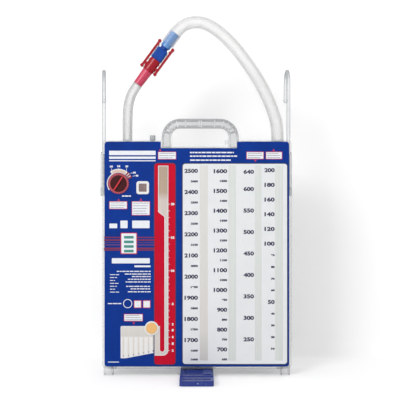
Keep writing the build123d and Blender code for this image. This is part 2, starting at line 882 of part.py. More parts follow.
def hanger_cap(x):
    """Push-on cap that keeps the rod in its sleeve."""
    top = sleeve_bottom - face_gap
    cap = post(x, 0, hanger_cap_r, top - hanger_cap_h, top)
    cap = fillet(cap.edges().filter_by(GeomType.CIRCLE), hanger_cap_edge_r)
    return cap - post(x, 0, hanger_rod_r, top - hanger_cap_h + hanger_cap_end_t, top + over)


def floor_stand():
    """Swivelling foot: a shelled bar with a stepped lip, a slot and a raised rib at the front."""
    outline = RectangleRounded(stand_w, stand_len, stand_corner_r)
    bar = fillet(plate(outline, 0, stand_h).faces().sort_by(Axis.Z)[-1].edges(), stand_edge_r)
    nose_y = -stand_len / 2
    lip_top = stand_h - stand_lip_drop
    bar -= Pos(0, nose_y - over, lip_top) * Box(
        stand_w + 2 * over, stand_lip_len + over, stand_h, align=(Align.CENTER, Align.MIN, Align.MIN)
    )
    slot_floor = lip_top - stand_slot_depth
    bar -= Pos(0, stand_slot_y, slot_floor) * Box(stand_slot_w, stand_slot_len, stand_h, align=BOTTOM)
    bar += post(stand_bump_x, stand_slot_y, stand_bump_r, slot_floor, lip_top + stand_bump_rise)
    rib_y = front_y - stand_top_rib_len / 2
    bar += Pos(stand_top_rib_x, rib_y, lip_top) * Box(
        stand_top_rib_w, stand_top_rib_len, stand_lip_drop + stand_top_rib_h, align=BOTTOM
    )
    pocket_left = -stand_w / 2 + stand_pocket_border
    pocket_right = stand_top_rib_x - stand_top_rib_w / 2 - stand_lip_drop
    bar -= Pos((pocket_left + pocket_right) / 2, rib_y, stand_h - stand_pocket_depth) * Box(
        pocket_right - pocket_left, stand_top_rib_len - stand_corner_r, stand_h, align=BOTTOM
    )
    dimple = Cylinder(stand_dimple_r, stand_dimple_r)
    bar -= Pos(stand_dimple_x, nose_y, stand_dimple_z) * Rot(90, 0, 0) * dimple
    cavity = RectangleRounded(
        stand_w - 2 * stand_shell, stand_len - 2 * stand_shell, stand_corner_r - stand_shell
    )
    cavity -= Circle(pivot_head_r + stand_head_gap + stand_shell)
    for y in stand_cross_ribs:
        cavity -= Pos(0, y) * Rectangle(stand_w, stand_shell)
    bar -= plate(cavity, -over, slot_floor - stand_shell / 2)
    bar -= post(0, 0, pivot_head_r + stand_head_gap, -over, pivot_head_z + pivot_head_t + face_gap)
    return bar - post(0, 0, pivot_r + running_gap, 0, stand_h + over)


def stand_pivot():
    """Headed pin pressed up into the housing's boss."""
    head = post(0, 0, pivot_head_r, pivot_head_z, pivot_head_z + pivot_head_t)
    head = fillet(head.edges().filter_by(GeomType.CIRCLE).sort_by(Axis.Z)[0], pivot_head_edge_r)
    return head + post(0, 0, pivot_r, pivot_head_z, tray_base + pivot_boss_h - wall_t)


def vent_button():
    """Push cap over the vent boss, with the stem and valve disc that it opens."""
    mouth = tray_top + vent_travel + face_gap
    cap = post(vent_x, 0, vent_cap_r, mouth, vent_cap_top)
    cap = fillet(cap.faces().sort_by(Axis.Z)[-1].edges(), vent_cap_edge_r)
    cap -= post(vent_x, 0, vent_boss_r + face_gap, mouth - over, vent_cap_top - vent_cap_t)
    disc_top = tray_top - vent_boss_drop - face_gap
    cap += post(vent_x, 0, vent_stem_r, disc_top - vent_disc_t, vent_cap_top - vent_cap_t / 2)
    return cap + post(vent_x, 0, vent_disc_r, disc_top - vent_disc_t, disc_top)


def vent_spring():
    bottom = tray_top - vent_boss_drop + vent_floor_t
    length = vent_cap_top - vent_cap_t - bottom
    return Pos(vent_x, 0, bottom) * coil(vent_coil_r, vent_wire_r, length, vent_turns)


def relief_valve():
    """Rubber flap valve: a flat cap over four small holes, held by a stem with a bulb."""
    profile = post(relief_x, 0, relief_cap_r, tray_top, tray_top + relief_cap_t)
    profile = fillet(profile.faces().sort_by(Axis.Z)[-1].edges(), relief_cap_edge_r)
    under = tray_top - wall_t
    stem_bottom = under - relief_bulb_h - relief_stem_end
    profile += post(relief_x, 0, relief_stem_r, stem_bottom, tray_top + relief_cap_t / 2)
    return profile + post(relief_x, 0, relief_bulb_r, under - relief_bulb_h, under)


def port_stem_r(hose_r):
    return hose_r - 2 * port_wall


def port(x, hose_r, hose_z):
    """A nipple in the top wall: a flange that the hose stands on and a stem that drips inside."""
    stem = port_stem_r(hose_r)
    body = post(x, hose_plane_y, hose_r - port_flange_inset, tray_top, hose_z)
    body += post(x, hose_plane_y, stem, tray_top - port_drop, tray_top + over)
    return body - post(x, hose_plane_y, stem - port_wall, tray_top - port_drop - over, hose_z + over)


def hose(route, radius, name):
    """A hose along straight runs joined by tangent arcs, each as large as its runs allow."""
    points = [Vector(x, hose_plane_y, z) for x, z in route]
    bends = []
    for before, at, after in zip(points, points[1:], points[2:]):
        run_in, run_out = at - before, after - at
        half_turn = radians(run_in.get_angle(run_out)) / 2
        bends.append(bend_share * min(run_in.length, run_out.length) / tan(half_turn))
    path = FilletPolyline(*points, radius=bends)
    tube = sweep(Plane(origin=points[0], z_dir=points[1] - points[0]) * Circle(radius), path)
    print(name, "bend radii", [round(bend, 1) for bend in bends])
    filled = tube.volume / path.length / pi / radius**2
    print(name, "length", round(path.length, 1), "volume ratio", round(filled, 4))
    return tube


def coupler_frame():
    """The coupler's axis, from the smooth hose's end to the corrugated hose's end."""
    (x0, z0), (x1, z1) = smooth_route[-1], corrugated_route[0]
    lean = degrees(atan2(x1 - x0, z1 - z0))
    return Pos(x0, hose_plane_y, z0) * Rot(0, lean, 0), hypot(x1 - x0, z1 - z0)


def tube_piece(radius, bore, s0, s1, end_radius=None):
    """A tube along the coupler's axis, tapered where it has an end radius."""
    body = Cylinder(radius, s1 - s0, align=BOTTOM)
    if end_radius:
        body = Cone(radius, end_radius, s1 - s0, align=BOTTOM)
    return Pos(0, 0, s0) * (body - Cylinder(bore, s1 - s0, align=BOTTOM))


def red_sleeve():
    place, _ = coupler_frame()
    return place * tube_piece(red_sleeve_r, coupler_bore_r, 0, red_sleeve_len, red_sleeve_root_r)


def red_coupler():
    """Socket half with a latch arm on each side that hooks over the other half."""
    place, _ = coupler_frame()
    s0, s1 = red_sleeve_len, red_sleeve_len + red_body_len
    body = Pos(0, 0, s0) * Cylinder(red_body_r, red_body_len, align=BOTTOM)
    body = fillet(body.edges().filter_by(GeomType.CIRCLE).sort_by(Axis.Z)[0], red_body_edge_r)
    for share in red_ring_places:
        ring = Cylinder(red_body_r + red_ring_rise, red_ring_len)
        body += Pos(0, 0, s0 + share * red_body_len) * ring
    body -= Pos(0, 0, s0 - over) * Cylinder(coupler_bore_r, red_body_len + 2 * over, align=BOTTOM)
    socket = Cylinder(spigot_r + spigot_gap, 2 * spigot_len, align=BOTTOM)
    body -= Pos(0, 0, s1 - spigot_len - spigot_gap) * socket
    for side in (-1, 1):
        arm = Pos(side * arm_offset, 0, s0 + arm_start) * Box(arm_t, arm_w, arm_reach, align=BOTTOM)
        for knob_s in (s0 + arm_start, s0 + arm_start + arm_reach):
            arm += Pos(side * arm_offset, 0, knob_s) * Rot(90, 0, 0) * Cylinder(arm_knob_r, arm_w)
        bridge = Pos(side * (red_body_r + arm_offset) / 2, 0, s0 + bridge_place * red_body_len) * Box(
            arm_offset - red_body_r + wall_t, arm_w, bridge_len
        )
        tip_s = s1 + blue_block_len + face_gap
        hook = Pos(side * (arm_offset - arm_hook / 2), 0, tip_s) * Box(
            arm_hook + face_gap, arm_w, hook_len, align=BOTTOM
        )
        body += arm + bridge + hook
    return place * body


def blue_coupler():
    """Plug half: a rounded block with a spigot in front and a neck behind."""
    place, _ = coupler_frame()
    s0 = red_sleeve_len + red_body_len
    block = Pos(0, 0, s0) * Box(blue_block_w, blue_block_depth, blue_block_len, align=BOTTOM)
    block = fillet(block.edges(), blue_block_corner_r)
    for ridge in blue_groove_places:
        for side in (-1, 1):
            block -= Pos(side * blue_block_w / 2, 0, s0 + ridge * blue_block_len) * Box(
                2 * blue_groove_depth, blue_block_depth, blue_groove_w
            )
    end = s0 + blue_block_len
    block += Pos(0, 0, end - over) * Cylinder(blue_neck_r, blue_neck_len + over, align=BOTTOM)
    block += Pos(0, 0, s0 - spigot_len) * Cylinder(spigot_r, 2 * spigot_len, align=BOTTOM)
    groove = s0 - spigot_len / 2 - seal_ring_w / 2
    block -= tube_piece(spigot_r + over, seal_groove_r, groove, groove + seal_ring_w)
    bore_len = spigot_len + blue_block_len + blue_neck_len + 2 * over
    bore = Cylinder(blue_bore_r, bore_len, align=BOTTOM)
    return place * (block - Pos(0, 0, s0 - spigot_len - over) * bore)


def coupler_seal():
    place, _ = coupler_frame()
    groove = red_sleeve_len + red_body_len - spigot_len / 2 - seal_ring_w / 2
    return place * tube_piece(spigot_r + spigot_gap, seal_groove_r, groove, groove + seal_ring_w)


def blue_sleeve():
    place, length = coupler_frame()
    start = red_sleeve_len + red_body_len + blue_block_len + blue_neck_len
    return place * tube_piece(blue_sleeve_r, coupler_bore_r, start, length)


def hose_cuff():
    """Plain clear end of the corrugated hose, over the blue sleeve."""
    place, length = coupler_frame()
    bore = corrugated_hose_r - hose_cuff_wall
    return place * tube_piece(corrugated_hose_r, bore, length - hose_cuff_len, length)


def pieces():
    smooth_x, smooth_z = smooth_route[0]
    corrugated_x, corrugated_z = corrugated_route[-1]
    return {
        "back_shell": back_shell(),
        "front_cover": front_cover(),
        "face_label": face_label(),
        "seal_scale_label": seal_scale_label(),
        "volume_scale_label": volume_scale_label(),
        "seal_chamber": seal_chamber(),
        "seal_float": seal_float(),
        "leak_meter": leak_meter(),
        "septum_ring": septum_ring(),
        "septum": septum(),
        "suction_dial": suction_dial(),
        "dial_retainer": dial_retainer(),
        "dial_scale": dial_scale(),
        "regulator_body": regulator_body(),
        "regulator_diaphragm": regulator_diaphragm(),
        "regulator_spring": regulator_spring(),
        "indicator_frame": indicator_frame(),
        "indicator_lens": indicator_lens(),
        "indicator_chute": indicator_chute(),
        "indicator_float": indicator_float(),
        "carry_handle": carry_handle(),
        "hanger_left": hanger(hanger_left_x, hanger_splay_left),
        "hanger_right": hanger(hanger_right_x, 0),
        "hanger_cap_left": hanger_cap(hanger_left_x),
        "hanger_cap_right": hanger_cap(hanger_right_x),
        "floor_stand": floor_stand(),
        "stand_pivot": stand_pivot(),
        "vent_button": vent_button(),
        "vent_spring": vent_spring(),
        "relief_valve": relief_valve(),
        "suction_port": port(smooth_x, smooth_hose_r, smooth_z),
        "patient_port": port(corrugated_x, corrugated_hose_r, corrugated_z),
        "smooth_hose": hose(smooth_route, smooth_hose_r, "smooth hose"),
        "corrugated_hose": hose(corrugated_route, corrugated_hose_r, "corrugated hose"),
        "red_sleeve": red_sleeve(),
        "red_coupler": red_coupler(),
        "coupler_seal": coupler_seal(),
        "blue_coupler": blue_coupler(),
        "blue_sleeve": blue_sleeve(),
        "hose_cuff": hose_cuff(),
    }


os.makedirs("parts", exist_ok=True)
for name, shape in pieces().items():
    export_step(shape, f"parts/{name}.step")
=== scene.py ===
import json
import math
import random

import bmesh
import bpy
from mathutils import Matrix, Vector


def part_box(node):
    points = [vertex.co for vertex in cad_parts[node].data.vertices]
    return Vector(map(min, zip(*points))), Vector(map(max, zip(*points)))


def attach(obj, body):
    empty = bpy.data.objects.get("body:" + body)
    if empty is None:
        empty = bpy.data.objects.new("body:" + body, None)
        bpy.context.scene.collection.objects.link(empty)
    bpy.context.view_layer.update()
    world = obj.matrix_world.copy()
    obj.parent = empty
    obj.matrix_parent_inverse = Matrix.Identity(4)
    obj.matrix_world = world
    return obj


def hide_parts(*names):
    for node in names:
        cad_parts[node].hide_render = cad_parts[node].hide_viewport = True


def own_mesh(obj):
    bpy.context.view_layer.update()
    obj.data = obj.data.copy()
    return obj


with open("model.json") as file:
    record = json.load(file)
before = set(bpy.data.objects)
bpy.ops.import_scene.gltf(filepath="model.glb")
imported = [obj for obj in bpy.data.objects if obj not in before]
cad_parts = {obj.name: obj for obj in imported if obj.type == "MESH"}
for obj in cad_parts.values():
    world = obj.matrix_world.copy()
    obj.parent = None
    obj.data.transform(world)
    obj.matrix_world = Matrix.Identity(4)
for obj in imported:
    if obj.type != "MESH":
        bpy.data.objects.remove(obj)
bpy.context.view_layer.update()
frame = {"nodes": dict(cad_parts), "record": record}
nodes = frame["nodes"]
scene = bpy.context.scene
scene.view_settings.view_transform = "Standard"
random.seed(7)

# Lengths are in millimetres and become metres with MM
MM = 0.001

# Depths: the films' face, one layer of print, the dial's scale plate and the windows' layers
FILM_Y = -35.3
PRINT_T = 0.06
SCALE_Y = FILM_Y - 0.5
WINDOW_BACK = -35.02
WINDOW_FRONT = -35.12
COLUMN_FRONT = -35.16
EDGE_FRONT = -35.2

# The picture's pixels on the front face
PIXEL = 1.3543
MIDDLE_COLUMN = 196.8
FLOOR_ROW = 376.0


def face_x(column):
    """Millimetres across the front face, from a column of the picture."""
    return (column - MIDDLE_COLUMN) * PIXEL


def face_z(row):
    """Millimetres up the front face, from a row of the picture."""
    return (FLOOR_ROW - row) * PIXEL


def at(column, row):
    return face_x(column), face_z(row)


def face_rect(left, right, top, bottom):
    """A rectangle on the front face as x0, x1, z0, z1, from its columns and rows in the picture."""
    return face_x(left), face_x(right), face_z(bottom), face_z(top)


def shrink(rect, d):
    x0, x1, z0, z1 = rect
    return x0 + d, x1 - d, z0 + d, z1 - d


def layer(count):
    """The back of the print that lies on this many layers of print."""
    return FILM_Y - count * PRINT_T


# Colours
def srgb(r, g, b):
    """A colour of 0 to 255 as the linear colour that nodes take."""

    def one(c):
        c /= 255
        return c / 12.92 if c <= 0.04045 else ((c + 0.055) / 1.055) ** 2.4

    return (one(r), one(g), one(b), 1.0)


def shade(colour, amount):
    return tuple(min(1.0, c * amount) for c in colour[:3]) + (1.0,)


BLUE = srgb(4, 52, 142)
RED = srgb(200, 8, 44)
NAVY = srgb(14, 14, 62)
HAZE = srgb(232, 235, 236)


# Materials
class Nodes:
    """A new material with short ways to add and join its nodes."""

    def __init__(self, name):
        self.material = bpy.data.materials.new(name)
        self.material.use_nodes = True
        self.tree = self.material.node_tree
        self.tree.nodes.clear()
        self.out = self.add("ShaderNodeOutputMaterial")
        self.coord = self.add("ShaderNodeTexCoord").outputs["Object"]

    def add(self, kind, **values):
        node = self.tree.nodes.new(kind)
        for key, value in values.items():
            if hasattr(node, key):
                setattr(node, key, value)
            else:
                node.inputs[key.replace("_", " ")].default_value = value
        return node

    def link(self, a, b):
        self.tree.links.new(a, b)

    def noise(self, scale, detail=3.0):
        node = self.add("ShaderNodeTexNoise", Scale=scale, Detail=detail, Roughness=0.55)
        self.link(self.coord, node.inputs["Vector"])
        return node.outputs[0]

    def ramp(self, source, stops):
        node = self.add("ShaderNodeValToRGB")
        node.color_ramp.elements[0].position = stops[0][0]
        node.color_ramp.elements[0].color = stops[0][1]
        node.color_ramp.elements[1].position = stops[-1][0]
        node.color_ramp.elements[1].color = stops[-1][1]
        for place, colour in stops[1:-1]:
            node.color_ramp.elements.new(place).color = colour
        self.link(source, node.inputs[0])
        return node.outputs[0]

    def span(self, source, low, high, start=0.3, end=0.7):
        node = self.add("ShaderNodeMapRange")
        node.inputs["From Min"].default_value = start
        node.inputs["From Max"].default_value = end
        node.inputs["To Min"].default_value = low
        node.inputs["To Max"].default_value = high
        self.link(source, node.inputs["Value"])
        return node.outputs[0]

    def bump(self, source, distance, strength=0.5):
        node = self.add("ShaderNodeBump", Distance=distance, Strength=strength)
        self.link(source, node.inputs["Height"])
        return node.outputs[0]

    def mix(self, factor, a, b):
        node = self.add("ShaderNodeMix", data_type="RGBA")
        for value, socket in ((factor, 0), (a, 6), (b, 7)):
            if isinstance(value, (tuple, float, int)):
                node.inputs[socket].default_value = value
            else:
                self.link(value, node.inputs[socket])
        return node.outputs[2]

    def most(self, a, b):
        node = self.add("ShaderNodeMath", operation="MAXIMUM")
        self.link(a, node.inputs[0])
        self.link(b, node.inputs[1])
        return node.outputs[0]

    def done(self, shader):
        self.link(shader.outputs[0], self.out.inputs["Surface"])
        return self.material


def plastic(
    name,
    colour,
    rough=0.35,
    vary=0.08,
    scale=60.0,
    bump=0.00002,
    grain=1800.0,
    specular=0.5,
    back=None,
):
    """Moulded or printed plastic: faint mottling, uneven gloss, a fine grain and, on films, a plain back."""
    n = Nodes(name)
    shader = n.add("ShaderNodeBsdfPrincipled")
    shader.inputs["Specular IOR Level"].default_value = specular
    soft = n.noise(scale)
    tone = n.ramp(soft, [(0.25, shade(colour, 1 - vary)), (0.75, shade(colour, 1 + vary))])
    if back:
        side = n.add("ShaderNodeSeparateXYZ")
        n.link(n.add("ShaderNodeNewGeometry").outputs["Normal"], side.inputs[0])
        tone = n.mix(n.span(side.outputs["Y"], 0.0, 1.0, 0.4, 0.6), tone, back)
    n.link(tone, shader.inputs["Base Color"])
    n.link(n.span(n.noise(scale * 3), rough - 0.06, rough + 0.08), shader.inputs["Roughness"])
    n.link(n.bump(n.noise(grain, 2.0), bump), shader.inputs["Normal"])
    return n.done(shader)


def film(name, colour, vary, scale, specular=0.12):
    """Printed film: satin, finely grained, and plain from behind."""
    return plastic(name, colour, 0.45, vary, scale, 0.000015, 2400.0, specular, HAZE)


def ink(name, colour, vary=0.08):
    return plastic(f"ink_{name}", colour, rough=0.45, vary=vary, scale=200.0)


def clear(name, tint, edge, low=0.3, high=0.95, rough=0.05, blend=0.4):
    """Clear moulded plastic: mostly see-through and denser where a wall is seen at a slant, where painted
    shade also darkens its colour.
    """
    n = Nodes(name)
    shader = n.add("ShaderNodeBsdfPrincipled", IOR=1.49)
    slant = n.add("ShaderNodeLayerWeight", Blend=blend).outputs["Facing"]
    # Painted shade: the colour runs from tint to the darker edge colour where a wall is seen at a slant
    n.link(n.mix(slant, tint, edge), shader.inputs["Base Color"])
    n.link(n.span(slant, low, high, 0.0, 1.0), shader.inputs["Alpha"])
    n.link(n.span(n.noise(90.0), max(0.0, rough - 0.03), rough + 0.04), shader.inputs["Roughness"])
    n.link(n.bump(n.noise(220.0, 2.0), 0.00003, 0.35), shader.inputs["Normal"])
    return n.done(shader)


def frost(name, stops, low, high, alpha, streak=0.03):
    """Clear wall seen through a pale haze: its tone runs up the face, with faint upright streaks."""
    n = Nodes(name)
    shader = n.add("ShaderNodeBsdfPrincipled", Roughness=0.5)
    shader.inputs["Specular IOR Level"].default_value = 0.3
    shader.inputs["Alpha"].default_value = alpha
    place = n.add("ShaderNodeSeparateXYZ")
    n.link(n.coord, place.inputs[0])
    tone = n.ramp(n.span(place.outputs["Z"], 0.0, 1.0, low * MM, high * MM), stops)
    stretch = n.add("ShaderNodeMapping")
    stretch.inputs["Scale"].default_value = (700.0, 40.0, 12.0)
    n.link(n.coord, stretch.inputs["Vector"])
    streaks = n.add("ShaderNodeTexNoise", Scale=1.0, Detail=2.0)
    n.link(stretch.outputs[0], streaks.inputs["Vector"])
    level = n.add("ShaderNodeMix", data_type="RGBA", blend_type="MULTIPLY")
    level.inputs[0].default_value = 1.0
    n.link(tone, level.inputs[6])
    n.link(n.span(streaks.outputs[0], 1.0 - streak, 1.0 + streak), level.inputs[7])
    n.link(level.outputs[2], shader.inputs["Base Color"])
    n.link(n.bump(n.noise(500.0, 2.0), 0.00002), shader.inputs["Normal"])
    return n.done(shader)


def two_tone(name, inner, outer, centre, edge):
    """Moulded plastic with one colour inside a radius about an axis along Y and another outside it."""
    n = Nodes(name)
    shader = n.add("ShaderNodeBsdfPrincipled")
    shader.inputs["Specular IOR Level"].default_value = 0.25
    flat = n.add("ShaderNodeVectorMath", operation="MULTIPLY_ADD")
    flat.inputs[1].default_value = (1.0, 0.0, 1.0)
    flat.inputs[2].default_value = (-centre[0] * MM, 0.0, -centre[1] * MM)
    n.link(n.coord, flat.inputs[0])
    reach = n.add("ShaderNodeVectorMath", operation="LENGTH")
    n.link(flat.outputs[0], reach.inputs[0])
    outside = n.span(reach.outputs["Value"], 0.0, 1.0, (edge - 0.1) * MM, (edge + 0.1) * MM)
    speck = n.noise(900.0)
    low = n.ramp(speck, [(0.3, shade(inner, 0.7)), (0.7, shade(inner, 1.4))])
    high = n.ramp(speck, [(0.3, shade(outer, 0.75)), (0.7, shade(outer, 1.15))])
    n.link(n.mix(outside, low, high), shader.inputs["Base Color"])
    n.link(n.span(n.noise(150.0), 0.3, 0.45), shader.inputs["Roughness"])
    n.link(n.bump(n.noise(900.0, 2.0), 0.00003), shader.inputs["Normal"])
    return n.done(shader)


def steel(name):
    n = Nodes(name)
    shader = n.add("ShaderNodeBsdfPrincipled")
    shader.inputs["Metallic"].default_value = 1.0
    tone = n.ramp(n.noise(400.0), [(0.3, srgb(150, 152, 155)), (0.7, srgb(196, 198, 200))])
    n.link(tone, shader.inputs["Base Color"])
    n.link(n.span(n.noise(900.0), 0.22, 0.4), shader.inputs["Roughness"])
    return n.done(shader)


# The dial's axis and the radius where its dark middle meets its pale rim, whose pale pink is partly its own
# colour and partly a painted highlight
DIAL_X, DIAL_Z = -106.0, 260.6
DIAL_RIM_R = 11.2

looks = {
    "clear_plastic": clear("clear_plastic", srgb(228, 233, 236), srgb(84, 94, 104), low=0.2, high=1.0),
    "face_film": film("face_film", BLUE, vary=0.16, scale=30.0),
    "seal_film": film("seal_film", RED, vary=0.09, scale=35.0),
    "volume_film": film("volume_film", srgb(236, 238, 240), vary=0.02, scale=45.0, specular=0.3),
    "white_plastic": plastic("white_plastic", srgb(238, 238, 236), rough=0.3, vary=0.02),
    "septum_rubber": plastic(
        "septum_rubber", srgb(243, 191, 120), rough=0.55, vary=0.06, scale=300.0, bump=0.00008, grain=1500.0
    ),
    # The rim's pale pink is partly a painted highlight
    "dial_red": two_tone("dial_red", srgb(62, 0, 6), srgb(206, 92, 102), (DIAL_X, DIAL_Z), DIAL_RIM_R),
    "orange_plastic": plastic("orange_plastic", srgb(232, 120, 50), rough=0.4),
    "stand_blue": plastic("stand_blue", srgb(36, 56, 138), rough=0.3, scale=70.0),
    "steel_wire": steel("steel_wire"),
    "seal_rubber": plastic("seal_rubber", srgb(214, 214, 208), rough=0.6, vary=0.04, scale=200.0),
    "coupler_red": plastic(
        "coupler_red",
        srgb(168, 2, 30),
        rough=0.25,
        vary=0.22,
        scale=260.0,
        bump=0.00005,
        grain=700.0,
        specular=0.35,
    ),
    "coupler_blue": plastic(
        "coupler_blue", srgb(6, 66, 158), rough=0.33, vary=0.1, scale=150.0, specular=0.25
    ),
    "sleeve_red": clear("sleeve_red", srgb(222, 70, 104), srgb(206, 40, 76), low=0.85, high=1.0, rough=0.25),
    "sleeve_blue": clear(
        "sleeve_blue", srgb(110, 164, 226), srgb(60, 120, 200), low=0.85, high=1.0, rough=0.25
    ),
    "hose_clear": clear(
        "hose_clear", srgb(238, 238, 237), srgb(66, 68, 70), low=0.17, high=1.0, rough=0.08, blend=0.33
    ),
}
inks = {
    "white": ink("white", srgb(238, 241, 246), vary=0.03),
    "navy": ink("navy", NAVY, vary=0.1),
    "red": ink("red", srgb(206, 30, 56), vary=0.06),
    "dark_red": ink("dark_red", srgb(140, 10, 34)),
    "grey": ink("grey", srgb(120, 126, 140), vary=0.06),
    "wine": ink("wine", srgb(124, 18, 62)),
    "purple": ink("purple", srgb(88, 42, 112)),
    "teal": ink("teal", srgb(60, 140, 130), vary=0.06),
    "outline": ink("outline", srgb(14, 30, 84), vary=0.06),
}
box_clear = clear("box_clear", srgb(236, 240, 243), srgb(120, 130, 140), low=0.1, high=0.9, blend=0.3)
cuff_clear = clear("cuff_clear", srgb(244, 247, 250), srgb(150, 158, 166), low=0.04, high=0.8, blend=0.3)
LENS_LOW, LENS_HIGH = 249.0, 261.0
lens_tone = [(0.0, srgb(150, 126, 124)), (1.0, srgb(160, 138, 137))]
lens_glass = frost("indicator_glass", lens_tone, LENS_LOW, LENS_HIGH, alpha=0.85, streak=0.10)

for row in frame["record"]["subparts"]:
    nodes[row["node"]].data.materials.clear()
    nodes[row["node"]].data.materials.append(looks[row["material_slot"]])
for name in ("back_shell", "front_cover", "seal_chamber"):
    nodes[name].data.materials[0] = box_clear
nodes["hose_cuff"].data.materials[0] = cuff_clear
nodes["indicator_lens"].data.materials[0] = lens_glass


# Outlines in the front view
def rounded(x0, x1, z0, z1, r=0.0, steps=5):
    """A rectangle's outline, its corners rounded."""
    if r <= 0:
        return [(x0, z0), (x1, z0), (x1, z1), (x0, z1)]
    corners = ((x1 - r, z0 + r, -90), (x1 - r, z1 - r, 0), (x0 + r, z1 - r, 90), (x0 + r, z0 + r, 180))
    points = []
    for cx, cz, start in corners:
        for i in range(steps + 1):
            a = math.radians(start + 90 * i / steps)
            points.append((cx + r * math.cos(a), cz + r * math.sin(a)))
    return points


def circle(x, z, r, steps=40):
    turns = [2 * math.pi * i / steps for i in range(steps)]
    return [(x + r * math.cos(a), z + r * math.sin(a)) for a in turns]


def path_round(corners, steps=6):
    """An outline from its corners in order, each x, z and the radius that rounds it."""
    points, count = [], len(corners)
    for i, (x, z, r) in enumerate(corners):
        if not r:
            points.append((x, z))
            continue
        corner = Vector((x, z))
        before = (Vector(corners[i - 1][:2]) - corner).normalized()
        after = (Vector(corners[(i + 1) % count][:2]) - corner).normalized()
        half = before.angle(after) / 2
        middle = corner + (before + after).normalized() * (r / math.sin(half))
        start = corner + before * (r / math.tan(half)) - middle
        end = corner + after * (r / math.tan(half)) - middle
        a0 = math.atan2(start.y, start.x)
        turn = (math.atan2(end.y, end.x) - a0 + math.pi) % (2 * math.pi) - math.pi
        for k in range(steps + 1):
            a = a0 + turn * k / steps
            points.append((middle.x + r * math.cos(a), middle.y + r * math.sin(a)))
    return points


def inset(points, d):
    """The same outline moved inwards by d, corner by corner."""
    area = sum(a[0] * b[1] - b[0] * a[1] for a, b in zip(points, points[1:] + points[:1]))
    side = 1 if area > 0 else -1
    moved = []
    for i, point in enumerate(points):
        before, here, after = Vector(points[i - 1]), Vector(point), Vector(points[(i + 1) % len(points)])
        u, v = (here - before).normalized(), (after - here).normalized()
        m = (Vector((-u.y, u.x)) + Vector((-v.y, v.x))) * side
        m = m * (2 * d / m.length_squared)
        moved.append((here.x + m.x, here.y + m.y))
    return moved


# Meshes
def prism(bm, outline, y0, y1):
    """A closed slab over an outline."""
    front = [bm.verts.new((x * MM, y0 * MM, z * MM)) for x, z in outline]
    back = [bm.verts.new((x * MM, y1 * MM, z * MM)) for x, z in outline]
    bm.faces.new(front)
    bm.faces.new(back[::-1])
    for i in range(len(outline)):
        j = (i + 1) % len(outline)
        bm.faces.new((front[j], front[i], back[i], back[j]))


def ring_prism(bm, outer, inner, y0, y1):
    """A closed frame between two outlines with the same number of points."""
    rows = [
        [bm.verts.new((x * MM, y * MM, z * MM)) for x, z in line]
        for line, y in ((outer, y0), (inner, y0), (inner, y1), (outer, y1))
    ]
    count = len(outer)
    for i in range(count):
        j = (i + 1) % count
        for a, b in zip(rows, rows[1:] + rows[:1]):
            bm.faces.new((a[i], a[j], b[j], b[i]))


def new_mesh(name, bm):
    bmesh.ops.recalc_face_normals(bm, faces=bm.faces)
    mesh = bpy.data.meshes.new(name)
    bm.to_mesh(mesh)
    bm.free()
    return mesh


def new_object(name, mesh, material, body="housing"):
    obj = bpy.data.objects.new(name, mesh)
    scene.collection.objects.link(obj)
    mesh.materials.append(material)
    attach(obj, body)
    return obj


def build(name, draw, material, body="housing"):
    bm = bmesh.new()
    draw(bm)
    return new_object(name, new_mesh(name, bm), material, body)


def bars(name, rects, material, y=FILM_Y, t=PRINT_T, r=0.0):
    """Printed bars in one piece, each x0, x1, z0, z1."""

    def draw(bm):
        for x0, x1, z0, z1 in rects:
            prism(bm, rounded(x0, x1, z0, z1, r, 3), y - t, y)

    return build(name, draw, material)


def strokes(name, lines, width, material, y=FILM_Y, t=PRINT_T, body="housing"):
    """Printed straight strokes in one piece, each from one point to another."""

    def draw(bm):
        for (x0, z0), (x1, z1) in lines:
            d = Vector((x1 - x0, z1 - z0)).normalized()
            nx, nz = -d.y * width / 2, d.x * width / 2
            ends = [(x0 + nx, z0 + nz), (x0 - nx, z0 - nz), (x1 - nx, z1 - nz), (x1 + nx, z1 + nz)]
            prism(bm, ends, y - t, y)

    return build(name, draw, material, body)


def as_mesh(obj):
    """A curve's or a word's mesh. The curve is deleted."""
    bpy.context.view_layer.update()
    mesh = bpy.data.meshes.new_from_object(obj.evaluated_get(bpy.context.evaluated_depsgraph_get()))
    curve = obj.data
    bpy.data.objects.remove(obj)
    bpy.data.curves.remove(curve)
    return mesh


# Figures over TALL are printed less bold than the small ones
TALL = 4.0
BOLD_TALL = 0.045
BOLD_SMALL = 0.07


def label_mesh(text, height, width):
    """A word of the built-in letters, fitted to a height and width, from 0, 0 up and right."""
    curve = bpy.data.curves.new("letters", "FONT")
    curve.body = text
    curve.offset = BOLD_TALL if height > TALL else BOLD_SMALL
    curve.extrude = 0.5
    curve.resolution_u = 3
    obj = bpy.data.objects.new("letters", curve)
    scene.collection.objects.link(obj)
    mesh = as_mesh(obj)
    xs = [v.co.x for v in mesh.vertices]
    ys = [v.co.y for v in mesh.vertices]
    wide, tall = max(xs) - min(xs), max(ys) - min(ys)
    for v in mesh.vertices:
        x, y, z = v.co
        v.co = Vector(((x - min(xs)) / wide * width, z, (y - min(ys)) / tall * height))
    return mesh


def letters(name, rows, material, y=FILM_Y):
    """Printed figures in one piece, each a text, x, z of its foot, height, width and which side is at x."""
    bm = bmesh.new()
    for text, x, z, height, width, side in rows:
        mesh = label_mesh(text, height, width)
        shift = {"right": -width, "mid": -width / 2}[side]
        mesh.transform(Matrix.Translation((x + shift, 0, z)))
        for v in mesh.vertices:
            v.co = Vector((v.co.x, y - PRINT_T / 2 - v.co.y * PRINT_T, v.co.z)) * MM
        bm.from_mesh(mesh)
        bpy.data.meshes.remove(mesh)
    return new_object(name, new_mesh(name, bm), material)


def greeked(x0, x1, z, h, gap=0.8):
    """A line of unreadable print: short bars of word length from x0 to x1."""
    rects, x = [], x0
    while x < x1 - 1.0:
        end = min(x1, x + random.uniform(2.4, 7.0))
        rects.append((x, end, z, z + h))
        x = end + gap
    return rects


